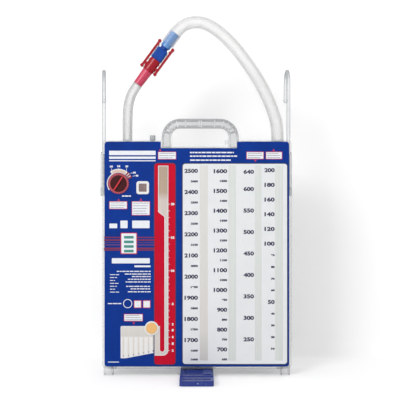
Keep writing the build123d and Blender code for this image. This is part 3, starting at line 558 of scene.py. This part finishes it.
# Hoses
SMOOTH = [
    (-96.4, 320.8),
    (-96.4, 338.0),
    (-96.2, 354.0),
    (-95.6, 368.0),
    (-92.8, 380.2),
    (-88.2, 390.3),
    (-82.2, 398.9),
]
CORRUGATED = [
    (-30.3, 469.2),
    (-24.4, 477.0),
    (-14.3, 483.2),
    (-2.4, 485.6),
    (9.7, 484.1),
    (21.9, 478.2),
    (35.4, 468.2),
    (49.0, 454.7),
    (62.0, 438.9),
    (74.4, 421.9),
    (86.0, 403.7),
    (96.2, 384.3),
    (104.8, 363.9),
    (111.9, 342.0),
    (111.9, 320.8),
]
SMOOTH_R = 6.75
SMOOTH_BORE_R = 4.9
SMOOTH_STEP = 2.5
PITCH = 2.7
STEPS = 6
RING_R = 8.6
RING_BORE_R = 7.3
RING_DEPTH = 0.6


def route_line(route, name):
    """The hose's centre line as an even run of points, in metres."""
    curve = bpy.data.curves.new(name, "CURVE")
    curve.dimensions = "3D"
    curve.resolution_u = 24
    spline = curve.splines.new("NURBS")
    spline.points.add(len(route) - 1)
    for point, (x, z) in zip(spline.points, route):
        point.co = (x * MM, 0, z * MM, 1)
    spline.order_u = 3
    spline.use_endpoint_u = True
    obj = bpy.data.objects.new(name, curve)
    scene.collection.objects.link(obj)
    mesh = as_mesh(obj)
    line = [v.co.copy() for v in mesh.vertices]
    bpy.data.meshes.remove(mesh)
    return line


def along(line, step):
    """Points at even steps along a line, with the direction and the distance at each, and its length."""
    total = sum((b - a).length for a, b in zip(line, line[1:]))
    count = max(2, round(total / step))
    places, gone, i = [], 0.0, 0
    for k in range(count + 1):
        want = min(total * k / count, total - 1e-9)
        while i < len(line) - 2 and gone + (line[i + 1] - line[i]).length < want:
            gone += (line[i + 1] - line[i]).length
            i += 1
        run = line[i + 1] - line[i]
        places.append((line[i] + run * ((want - gone) / run.length), want))
    points = []
    for k, (p, s) in enumerate(places):
        before, after = places[max(0, k - 1)][0], places[min(count, k + 1)][0]
        points.append((p, (after - before).normalized(), s))
    return points, total


def tube(name, line, outer, inner, step, material, sides=40):
    """A hollow hose along a line. outer and inner give the radius at a distance along it."""
    points, total = along(line, step * MM)
    bm = bmesh.new()
    rings = []
    turns = [2 * math.pi * k / sides for k in range(sides)]
    for radius, order in ((outer, points), (inner, points[::-1])):
        for p, d, s in order:
            side = Vector((0, 1, 0))
            up = d.cross(side).normalized()
            r = radius(s / MM) * MM
            rings.append([bm.verts.new(p + side * (r * math.cos(a)) + up * (r * math.sin(a))) for a in turns])
    for a, b in zip(rings, rings[1:] + rings[:1]):
        for k in range(sides):
            j = (k + 1) % sides
            bm.faces.new((a[k], a[j], b[j], b[k])).smooth = True
    obj = new_object(name, new_mesh(name, bm), material)
    return obj, total


def ripple(s):
    return RING_DEPTH * math.cos(2 * math.pi * s / PITCH)


smooth_line = route_line(SMOOTH, "smooth_line")
corrugated_line = route_line(CORRUGATED, "corrugated_line")
smooth, smooth_len = tube(
    "smooth_tube",
    smooth_line,
    lambda s: SMOOTH_R,
    lambda s: SMOOTH_BORE_R,
    SMOOTH_STEP,
    looks["hose_clear"],
)
ring_clear = clear(
    "hose_crest", srgb(248, 248, 247), srgb(226, 226, 224), low=0.06, high=0.8, rough=0.1, blend=0.35
)
corrugated, corrugated_len = tube(
    "corrugated_tube",
    corrugated_line,
    lambda s: RING_R + ripple(s),
    lambda s: RING_BORE_R + ripple(s),
    PITCH / STEPS,
    ring_clear,
    sides=36,
)
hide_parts("smooth_hose")
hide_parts("corrugated_hose")

# Volume figures: large at each hundred, small between them
BIG_H = 5.7
BIG_DIGIT_W = (4.55, 4.55, 4.7, 4.6)
SMALL_H = 2.9
SMALL_DIGIT_W = (2.42, 2.42, 2.42, 2.5)
FIGURE_COLUMNS = (197.9, 227.1, 253.9, 274.6)
SMALL_TENS = (
    ("90", 255.2),
    ("80", 267.0),
    ("70", 278.8),
    ("60", 290.2),
    ("40", 313.7),
    ("30", 325.4),
    ("20", 337.1),
    ("10", 348.7),
)


def run_of(first, drop, count, top, pitch):
    """Figures that fall by a drop, each with its row in the picture."""
    return [(str(first - drop * i), top + pitch * i) for i in range(count)]


def column(number, rows, digits, height):
    """One column of figures, set flush right."""
    right, digit = face_x(FIGURE_COLUMNS[number]), digits[number]
    return [(text, right, face_z(row) - height / 2, height, digit * len(text), "right") for text, row in rows]


big = column(0, run_of(2500, 100, count=9, top=170.9, pitch=21.15), BIG_DIGIT_W, BIG_H)
big += column(1, run_of(1600, 100, count=10, top=171.2, pitch=19.8), BIG_DIGIT_W, BIG_H)
big += column(2, [("640", 171.8), ("600", 189.0)], BIG_DIGIT_W, BIG_H)
big += column(2, run_of(550, 50, count=7, top=210.6, pitch=21.45), BIG_DIGIT_W, BIG_H)
big += column(3, run_of(200, 20, count=6, top=170.2, pitch=14.7), BIG_DIGIT_W, BIG_H)
big += column(3, [("50", 302.0)], BIG_DIGIT_W, BIG_H)
small = column(0, run_of(2450, 100, count=9, top=181.4, pitch=21.15), SMALL_DIGIT_W, SMALL_H)
small += column(0, [("1600", 359.4)], SMALL_DIGIT_W, SMALL_H)
small += column(1, run_of(1550, 100, count=10, top=181.1, pitch=19.8), SMALL_DIGIT_W, SMALL_H)
small += column(3, SMALL_TENS, SMALL_DIGIT_W, SMALL_H)
letters("volume_figures", big + small, inks["navy"])

# Water seal scale: figures with their rows, and ticks from the lowest up, every fifth one long
SEAL_FIGURES = (
    ("20", 204.1),
    ("15", 237.7),
    ("10", 270.8),
    ("5", 304),
    ("2", 324.2),
    ("1", 330.2),
    ("0", 337.1),
    ("1", 343.6),
    ("2", 350.5),
)
SEAL_FIGURE_COLUMN = 172.7
SEAL_FIGURE_H = 3.2
SEAL_DIGIT_W = 2.35
TICK_COUNT = 23
TICK_PITCH = 6.65
TICK_HALF_T = 0.25
LONG_TICK = (167.6, 170.1)
SHORT_TICK = (168.2, 169.6)
seal_rows = []
for text, row in SEAL_FIGURES:
    x, z = face_x(SEAL_FIGURE_COLUMN), face_z(row) - SEAL_FIGURE_H / 2
    seal_rows.append((text, x, z, SEAL_FIGURE_H, SEAL_DIGIT_W * len(text), "mid"))
letters("seal_figures", seal_rows, inks["white"])
ticks = []
for i in range(TICK_COUNT):
    z = face_z(SEAL_FIGURES[-1][1] - TICK_PITCH * i)
    left, right = LONG_TICK if i % 5 == 2 else SHORT_TICK
    ticks.append((face_x(left), face_x(right), z - TICK_HALF_T, z + TICK_HALF_T))
bars("seal_ticks", ticks, inks["white"])

# Boxed notes. NOTE_LINE_FOOT is how far down its own share of the field a line of print has its foot
NOTE_EDGE = 0.65
NOTE_CORNER_R = 0.5
NOTE_MARGIN = 1.2
NOTE_PRINT_H = 0.62
NOTE_PRINT_GAP = 0.35
NOTE_LINE_FOOT = 0.62
ARROW_HALF_W = 1.7
ARROW_HALF_H = 1.5


def callout(tag, left, right, top, bottom, tip, up, lines):
    """A boxed note, from its columns and rows: red edge, white field, unreadable lines and an arrow."""
    box = face_rect(left, right, top, bottom)
    x0, x1, z0, z1 = shrink(box, NOTE_EDGE)
    bars(f"note_{tag}_edge", [box], inks["red"], r=NOTE_CORNER_R)
    bars(f"note_{tag}_field", [(x0, x1, z0, z1)], inks["white"], layer(1))
    rects = []
    for k in range(lines):
        z = z1 - (z1 - z0) * (k + NOTE_LINE_FOOT) / lines
        end = x1 - random.uniform(0.8, 5.0)
        rects += greeked(x0 + NOTE_MARGIN, end, z, NOTE_PRINT_H, NOTE_PRINT_GAP)
    bars(f"note_{tag}_print", rects, inks["grey"], layer(2))
    x, z = at(*tip)
    rise = ARROW_HALF_H if up else -ARROW_HALF_H
    arrow = [(x - ARROW_HALF_W, z - rise), (x + ARROW_HALF_W, z - rise), (x, z + rise)]
    build(f"note_{tag}_arrow", lambda bm: prism(bm, arrow, layer(1), FILM_Y), inks["red"])


callout("a", 157.9, 176.2, 151.7, 159.5, tip=(160.1, 149.9), up=True, lines=3)
callout("b", 109.2, 127.3, 201.3, 209.1, tip=(118.6, 199.7), up=True, lines=3)
callout("c", 131.7, 150.0, 201.3, 215.4, tip=(140.9, 199.5), up=True, lines=5)
callout("d", 123.9, 142.9, 313.9, 321.3, tip=(133.8, 323.5), up=False, lines=3)
callout("e", 246.3, 263.8, 151.7, 159.3, tip=(255.3, 160.9), up=False, lines=3)
callout("f", 265.7, 282.2, 151.7, 159.3, tip=(273.6, 149.9), up=True, lines=3)

# Header stripes
HEADER_LEFT, HEADER_RIGHT = 109.2, 155.6
HEADER_ROWS = ((150.8, 155.2), (156.6, 158.9), (160.3, 161.3))
header = [face_rect(HEADER_LEFT, HEADER_RIGHT, top, bottom) for top, bottom in HEADER_ROWS]
bars("header_stripes", header, inks["white"])


# Unreadable print on the blue film
def print_line(left, right, row, drop, height, gap=0.8):
    return greeked(face_x(left), face_x(right), face_z(row) - drop, height, gap)


PARAGRAPH_RIGHT = 150.7
PARAGRAPH = (
    (271.4, 116.8),
    (274.1, 124.8),
    (276.6, 132.0),
    (279.3, 127.9),
    (282.0, 125.7),
    (286.4, 126.2),
    (288.9, 130.6),
    (291.8, 127.9),
)
LIST_LEFT, LIST_RIGHT = 110, 119
LIST_TOP, LIST_PITCH = 275, 2.9
LIST_COUNT = 7
TITLE_LEFT = 190
TITLE = ((152.6, 233.8), (156.2, 237.1), (160.2, 230.7))
notes = []
for row, left in PARAGRAPH:
    notes += print_line(left, PARAGRAPH_RIGHT, row, drop=0.6, height=1.3)
for k in range(LIST_COUNT):
    right = LIST_RIGHT - 2 * (k % 3)
    notes += print_line(LIST_LEFT, right, LIST_TOP + k * LIST_PITCH, drop=0.0, height=0.9)
notes += print_line(107.9, 121.3, row=303.6, drop=0.6, height=1.3)
notes += print_line(122, 131, row=196, drop=0.9, height=1.6, gap=0.5)
for row, right in TITLE:
    notes += print_line(TITLE_LEFT, right, row, drop=0.9, height=1.8)
notes += [face_rect(108, 119, top=361.6, bottom=362.4)]
bars("greeked_notes", notes, inks["white"])

# Plain blocks and the stripes behind the badge
blocks = [
    face_rect(109.4, 117.2, top=223.6, bottom=228.2),
    face_rect(120.4, 127.6, top=220.6, bottom=228.2),
    face_rect(132.2, 149.6, top=220.6, bottom=228.2),
    face_rect(111.8, 149.8, top=258.2, bottom=263.4),
    face_rect(134.4, 150.6, top=265.4, bottom=267.2),
]
bars("plain_blocks", blocks, inks["white"], r=0.8)
STRIPE_LEFT, STRIPE_RIGHT = 103.9, 154.5
STRIPES = {
    "wine": ((237.4, 1.1), (240.1, 1.5), (248.4, 1.6), (250.1, 1.1)),
    "purple": ((242.6, 0.8), (244.9, 1.3)),
}
for tone, rows in STRIPES.items():
    stripes = [face_rect(STRIPE_LEFT, STRIPE_RIGHT, row - h / 2, row + h / 2) for row, h in rows]
    bars(f"stripes_{tone}", stripes, inks[tone])

# Badge
BADGE_BARS = 4
BADGE_TOP, BADGE_PITCH = 236, 4.6
BADGE_BAR_H = 2.6
bars("badge_edge", [face_rect(120.6, 137.1, top=232.7, bottom=254.1)], inks["red"], layer(1), r=1.2)
bars("badge_field", [face_rect(121.4, 136.3, top=233.5, bottom=253.3)], inks["white"], layer(2), r=0.8)
badge_tops = [BADGE_TOP + BADGE_PITCH * k for k in range(BADGE_BARS)]
badge_bars = [face_rect(124, 133.7, top, top + BADGE_BAR_H) for top in badge_tops]
bars("badge_bars", badge_bars, inks["teal"], layer(3), r=0.9)

# Two framed squares and a round mark
SQUARE_EDGE = 0.8
squares = [face_rect(left, right, top=300.3, bottom=308) for left, right in ((133.9, 141.5), (142.9, 150.5))]
bars("square_edges", squares, inks["red"], r=0.6)
bars("square_fields", [shrink(square, SQUARE_EDGE) for square in squares], inks["white"], layer(1))
MARK = at(127.7, 303.6)
MARK_R = 6.1
MARK_HOLE_R = 5.2
build(
    "round_mark",
    lambda bm: ring_prism(bm, circle(*MARK, MARK_R), circle(*MARK, MARK_HOLE_R), layer(1), FILM_Y),
    inks["white"],
)

# Dark outline round the two panels
OUTLINE_W = 1.3
OUTLINE_LAP = 0.05
PANEL_CORNER_R = 3.6


def panel_outline(tag, node):
    low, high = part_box(node)
    panel = (low.x / MM, high.x / MM, low.z / MM, high.z / MM)
    outer = rounded(*shrink(panel, -OUTLINE_W), PANEL_CORNER_R + OUTLINE_W)
    inner = rounded(*shrink(panel, OUTLINE_LAP), PANEL_CORNER_R)
    build(
        f"{tag}_panel_outline",
        lambda bm: ring_prism(bm, outer, inner, FILM_Y - PRINT_T / 2, FILM_Y),
        inks["outline"],
    )


panel_outline("seal", "seal_scale_label")
panel_outline("volume", "volume_scale_label")

# Haze in the windows of the four chambers
STRIP_SPANS = ((4.1, 14.9), (42.9, 53.1), (78.7, 87.6), (105.9, 116.7))
STRIP_BOTTOM, STRIP_TOP = 21.1, 285.0
STRIP_PLAY = 0.05
warm = [(0.0, srgb(214, 212, 207)), (0.15, srgb(228, 225, 220)), (1.0, srgb(234, 233, 229))]
cool = [(0.0, srgb(226, 230, 227)), (1.0, srgb(232, 236, 233))]
for k, span in enumerate(STRIP_SPANS):
    haze = frost(f"strip_haze_{k}", cool if k else warm, 21.0, STRIP_TOP, alpha=0.93)
    strip = shrink((*span, STRIP_BOTTOM, STRIP_TOP), STRIP_PLAY)
    bars(f"strip_window_{k}", [strip], haze, WINDOW_BACK, WINDOW_BACK - WINDOW_FRONT)

# Windows of the water seal: the leak meter with its rising floor, and the column with its U-bend
WINDOW_TOP = 67.6
METER_LEFT, METER_RIGHT = -103.1, -57.55
METER_BEND = -96.3
METER_FLOOR, METER_FLOOR_END = 24.1, 31.45
METER_CORNER_R = 1.6
BEND_LEFT, BEND_INNER_LEFT = -57.5, -50.1
BEND_FLOOR, BEND_INNER_FLOOR = 27.7, 32.9
BEND_R, BEND_INNER_R = 7.1, 3.0
COLUMN_RIGHT, COLUMN_NECK_LEFT, COLUMN_LEFT = -38.7, -43.8, -52.3
NECK_TOP, NECK_END, COLUMN_TOP = 215.4, 222.1, 284.7
WINDOW_EDGE = 0.75
leak_line = path_round(
    [
        (METER_LEFT, WINDOW_TOP, METER_CORNER_R),
        (METER_RIGHT, WINDOW_TOP, 0),
        (METER_RIGHT, METER_FLOOR_END, 0),
        (METER_BEND, METER_FLOOR, 0),
        (METER_LEFT, METER_FLOOR, 0),
    ]
)
column_line = path_round(
    [
        (BEND_LEFT, WINDOW_TOP, 0),
        (BEND_INNER_LEFT, WINDOW_TOP, 0),
        (BEND_INNER_LEFT, BEND_INNER_FLOOR, BEND_INNER_R),
        (COLUMN_NECK_LEFT, BEND_INNER_FLOOR, BEND_INNER_R),
        (COLUMN_NECK_LEFT, NECK_TOP, 0),
        (COLUMN_LEFT, NECK_END, 0),
        (COLUMN_LEFT, COLUMN_TOP, 0),
        (COLUMN_RIGHT, COLUMN_TOP, 0),
        (COLUMN_RIGHT, BEND_FLOOR, BEND_R),
        (BEND_LEFT, BEND_FLOOR, 0),
    ]
)
leak_tone = [
    (0.0, srgb(247, 246, 243)),
    (0.65, srgb(247, 246, 243)),
    (0.68, srgb(224, 221, 214)),
    (1.0, srgb(230, 227, 221)),
]
column_tone = [
    (0.0, srgb(232, 224, 217)),
    (0.70, srgb(228, 216, 208)),
    (0.82, srgb(222, 208, 202)),
    (0.86, srgb(196, 172, 152)),
    (1.0, srgb(190, 166, 148)),
]
leak_haze = frost("leak_haze", leak_tone, 24.0, 67.7, alpha=0.93)
column_haze = frost("column_haze", column_tone, 27.0, 285.0, alpha=0.88, streak=0.05)
build("leak_window", lambda bm: prism(bm, leak_line, WINDOW_FRONT, WINDOW_BACK), leak_haze)
build("column_window", lambda bm: prism(bm, column_line, WINDOW_FRONT, WINDOW_BACK), column_haze)
for tag, line in (("leak", leak_line), ("column", column_line)):
    rim = inset(line, WINDOW_EDGE)
    build(f"{tag}_edge", lambda bm: ring_prism(bm, line, rim, EDGE_FRONT, WINDOW_FRONT), inks["white"])

# The leak meter's seven numbered columns, whose feet follow its floor, painted a little darker than the haze
# between them: painted shade of the recessed columns
METER_COLUMNS = (123.4, 128.5, 133.6, 138.6, 143.6, 148.6, 153.2)
METER_HALF_W = 1.1
METER_FOOT, METER_HEAD = 25.2, 52.6
METER_SLOPE = 0.1887
METER_FIGURE_H, METER_FIGURE_W = 2.0, 1.5
columns = []
for pixel in METER_COLUMNS:
    x0, x1 = face_x(pixel) - METER_HALF_W, face_x(pixel) + METER_HALF_W
    columns.append((x0, x1, METER_FOOT + METER_SLOPE * max(0.0, x0 - METER_BEND), METER_HEAD))
# Painted shade: the columns' bars are darker than the bright haze around them
column_shade_paint = plastic("column_recess_shade", srgb(226, 220, 214), rough=0.5, vary=0.05, scale=300.0)
bars("leak_columns", columns, column_shade_paint, WINDOW_FRONT, WINDOW_FRONT - COLUMN_FRONT)
leak_rows = [
    (str(len(columns) - k), (x0 + x1) / 2, z0 + 1.0, METER_FIGURE_H, METER_FIGURE_W, "mid")
    for k, (x0, x1, z0, z1) in enumerate(columns)
]
letters("leak_figures", leak_rows, inks["grey"], COLUMN_FRONT)

# Suction scale: figures and their leaders, by column and row of the picture
SUCTION_FIGURES = (
    ("10", 111.4, 166.6),
    ("15", 118.8, 166.3),
    ("20", 126.8, 166.4),
    ("30", 134.4, 172.7),
    ("40", 136.9, 175.7),
)
SUCTION_LEADERS = (
    ((111.4, 168.5), (111.8, 171.0)),
    ((111.8, 171.0), (113.2, 173.2)),
    ((118.7, 168.4), (118.6, 170.6)),
    ((126.6, 168.4), (126.4, 170.8)),
    ((132.8, 173.0), (130.4, 173.2)),
    ((135.2, 175.8), (132.6, 176.2)),
)
SUCTION_FIGURE_H, SUCTION_FIGURE_W = 2.7, 4.0
LEADER_W = 0.55
suction_rows = [
    (text, face_x(x), face_z(y) - SUCTION_FIGURE_H / 2, SUCTION_FIGURE_H, SUCTION_FIGURE_W, "mid")
    for text, x, y in SUCTION_FIGURES
]
letters("suction_figures", suction_rows, inks["white"])
leaders = [(at(*start), at(*end)) for start, end in SUCTION_LEADERS]
strokes("suction_leaders", leaders, LEADER_W, inks["white"])

# Stripes and fan round the dial, by angle from the right and radius
STRIPE_FOOT_R = 14.6
DARK_STRIPES, DARK_STRIPE_R, DARK_STRIPE_W = (48.5, 38.0, 27.5), 20.3, 2.1
WHITE_STRIPES, WHITE_STRIPE_R, WHITE_STRIPE_W = (43.2, 32.8), 19.4, 1.1
FAN_R, FAN_HOLE_R = 18.7, 15.0
FAN_START, FAN_END, FAN_STEP = 56, 120, 4


def on_dial(angle, r):
    a = math.radians(angle)
    return DIAL_X + r * math.cos(a), DIAL_Z + r * math.sin(a)


def spoke(angle, r0, r1):
    return on_dial(angle, r0), on_dial(angle, r1)


dark = [spoke(a, STRIPE_FOOT_R, DARK_STRIPE_R) for a in DARK_STRIPES]
white = [spoke(a, STRIPE_FOOT_R, WHITE_STRIPE_R) for a in WHITE_STRIPES]
strokes("suction_stripes_dark", dark, DARK_STRIPE_W, inks["dark_red"], SCALE_Y)
strokes("suction_stripes_white", white, WHITE_STRIPE_W, inks["white"], SCALE_Y)
fan_angles = range(FAN_START, FAN_END + 1, FAN_STEP)
fan = [on_dial(a, FAN_R) for a in fan_angles] + [on_dial(a, FAN_HOLE_R) for a in reversed(fan_angles)]
fan_ink = plastic("ink_fan", srgb(222, 198, 184), rough=0.5, vary=0.10, scale=400.0)
build("scale_fan", lambda bm: prism(bm, fan, SCALE_Y - PRINT_T, SCALE_Y), fan_ink)

# Bright pointer line across the dial, a little sunk into its face
POINTER_ANGLE = 57.0
POINTER_HALF_L, POINTER_W, POINTER_T = 10.6, 1.7, 0.15
POINTER_SINK = 0.01
dial_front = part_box("suction_dial")[0].y / MM
strokes(
    "dial_line",
    [spoke(POINTER_ANGLE, -POINTER_HALF_L, POINTER_HALF_L)],
    POINTER_W,
    plastic("dial_bright", srgb(214, 40, 52), rough=0.3, vary=0.06, scale=200.0),
    dial_front + POINTER_SINK,
    POINTER_T,
    "dial",
)

# Bright dot in the stand's front face
DOT_X, DOT_Z, DOT_R = 1.5, 3.6, 0.8
DOT_FRONT, DOT_BACK = -111.7, -111.3
dot_ink = plastic("ink_dot", srgb(176, 188, 226), rough=0.4, vary=0.05, scale=300.0)
dot = circle(DOT_X, DOT_Z, DOT_R, 20)
build("stand_dot", lambda bm: prism(bm, dot, DOT_FRONT, DOT_BACK), dot_ink, "stand")

# Camera, in metres
CAMERA_PLACE = (0.0043, -1.395, 0.2383)
CAMERA_LENS = 90.4
camera = bpy.data.objects.new("camera", bpy.data.cameras.new("camera"))
scene.collection.objects.link(camera)
camera.location = CAMERA_PLACE
camera.rotation_euler = (math.radians(90), 0, 0)
camera.data.lens = CAMERA_LENS
camera.data.sensor_width = 36.0
scene.camera = camera

# Stage, in metres: a white sweep that is clear from behind, and a floor behind it
STAGE_HALF_W = 3.0
STAGE_REACH = 3.0
FLOOR_Z = -0.0002
REAR_FLOOR_Z = -0.0006
REAR_FLOOR_Y = 0.1
SWEEP_Y = 0.12
SWEEP_R = 0.03
SWEEP_STEPS = 12


def sweep_white():
    """White paint that the camera sees a little brighter, and that is clear from behind and to shadows."""
    n = Nodes("sweep_white")
    paint = n.add("ShaderNodeBsdfDiffuse")
    paint.inputs["Color"].default_value = (0.86, 0.86, 0.86, 1)
    ray = n.add("ShaderNodeLightPath")
    lift = n.add("ShaderNodeMath", operation="MULTIPLY")
    n.link(n.most(ray.outputs["Is Camera Ray"], ray.outputs["Is Transmission Ray"]), lift.inputs[0])
    lift.inputs[1].default_value = 0.3
    glow = n.add("ShaderNodeEmission")
    n.link(lift.outputs[0], glow.inputs["Strength"])
    both = n.add("ShaderNodeAddShader")
    n.link(paint.outputs[0], both.inputs[0])
    n.link(glow.outputs[0], both.inputs[1])
    behind = n.add("ShaderNodeNewGeometry").outputs["Backfacing"]
    choose = n.add("ShaderNodeMixShader")
    n.link(n.most(behind, ray.outputs["Is Shadow Ray"]), choose.inputs[0])
    n.link(both.outputs[0], choose.inputs[1])
    n.link(n.add("ShaderNodeBsdfTransparent").outputs[0], choose.inputs[2])
    return n.done(choose)


def stage_piece(name, profile, material):
    """A sheet as wide as the stage, along a profile of y and z."""
    bm = bmesh.new()
    ends = (-STAGE_HALF_W, STAGE_HALF_W)
    left, right = [[bm.verts.new((x, y, z)) for y, z in profile] for x in ends]
    for i in range(len(profile) - 1):
        bm.faces.new((left[i], right[i], right[i + 1], left[i + 1])).smooth = True
    mesh = bpy.data.meshes.new(name)
    bm.to_mesh(mesh)
    bm.free()
    obj = bpy.data.objects.new(name, mesh)
    scene.collection.objects.link(obj)
    mesh.materials.append(material)


profile = [(-STAGE_REACH, FLOOR_Z), (SWEEP_Y, FLOOR_Z)]
for i in range(1, SWEEP_STEPS + 1):
    a = math.radians(90 * i / SWEEP_STEPS)
    profile.append((SWEEP_Y + SWEEP_R * math.sin(a), FLOOR_Z + SWEEP_R * (1 - math.cos(a))))
profile.append((SWEEP_Y + SWEEP_R, STAGE_REACH))
stage_white = sweep_white()
stage_piece("sweep", profile, stage_white)
stage_piece("rear_floor", [(REAR_FLOOR_Y, REAR_FLOOR_Z), (STAGE_REACH, REAR_FLOOR_Z)], stage_white)

# World: white to the eye and in reflections, softer as a light
WORLD_LIGHT = 0.62
world = bpy.data.worlds.new("studio")
scene.world = world
world.use_nodes = True
tree = world.node_tree
tree.nodes.clear()


def world_most(a, b):
    node = tree.nodes.new("ShaderNodeMath")
    node.operation = "MAXIMUM"
    tree.links.new(a, node.inputs[0])
    tree.links.new(b, node.inputs[1])
    return node.outputs[0]


ray = tree.nodes.new("ShaderNodeLightPath").outputs
seen = world_most(world_most(ray["Is Camera Ray"], ray["Is Transmission Ray"]), ray["Is Glossy Ray"])
level = tree.nodes.new("ShaderNodeMapRange")
level.inputs["To Min"].default_value = WORLD_LIGHT
level.inputs["To Max"].default_value = 1.0
tree.links.new(seen, level.inputs["Value"])
background = tree.nodes.new("ShaderNodeBackground")
background.inputs["Color"].default_value = (1, 1, 1, 1)
tree.links.new(level.outputs[0], background.inputs["Strength"])
tree.links.new(background.outputs[0], tree.nodes.new("ShaderNodeOutputWorld").inputs["Surface"])


# Lamps, in metres and watts
LAMP_TARGET = (0, 0, 0.22)


def lamp(name, place, size, power):
    """A square lamp that faces the middle of the object."""
    light = bpy.data.lights.new(name, "AREA")
    light.size = size
    light.energy = power
    obj = bpy.data.objects.new(name, light)
    scene.collection.objects.link(obj)
    obj.location = place
    obj.rotation_euler = (Vector(LAMP_TARGET) - Vector(place)).to_track_quat("-Z", "Y").to_euler()


lamp("key", (-1.0, -1.9, 1.3), size=0.7, power=20)
lamp("back", (0.6, 1.8, 1.2), size=0.9, power=5)

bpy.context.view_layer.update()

# The vent's spring gets a mesh of its own (the button's travel is 2.4 mm)
spring = nodes["vent_spring"]
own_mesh(spring)
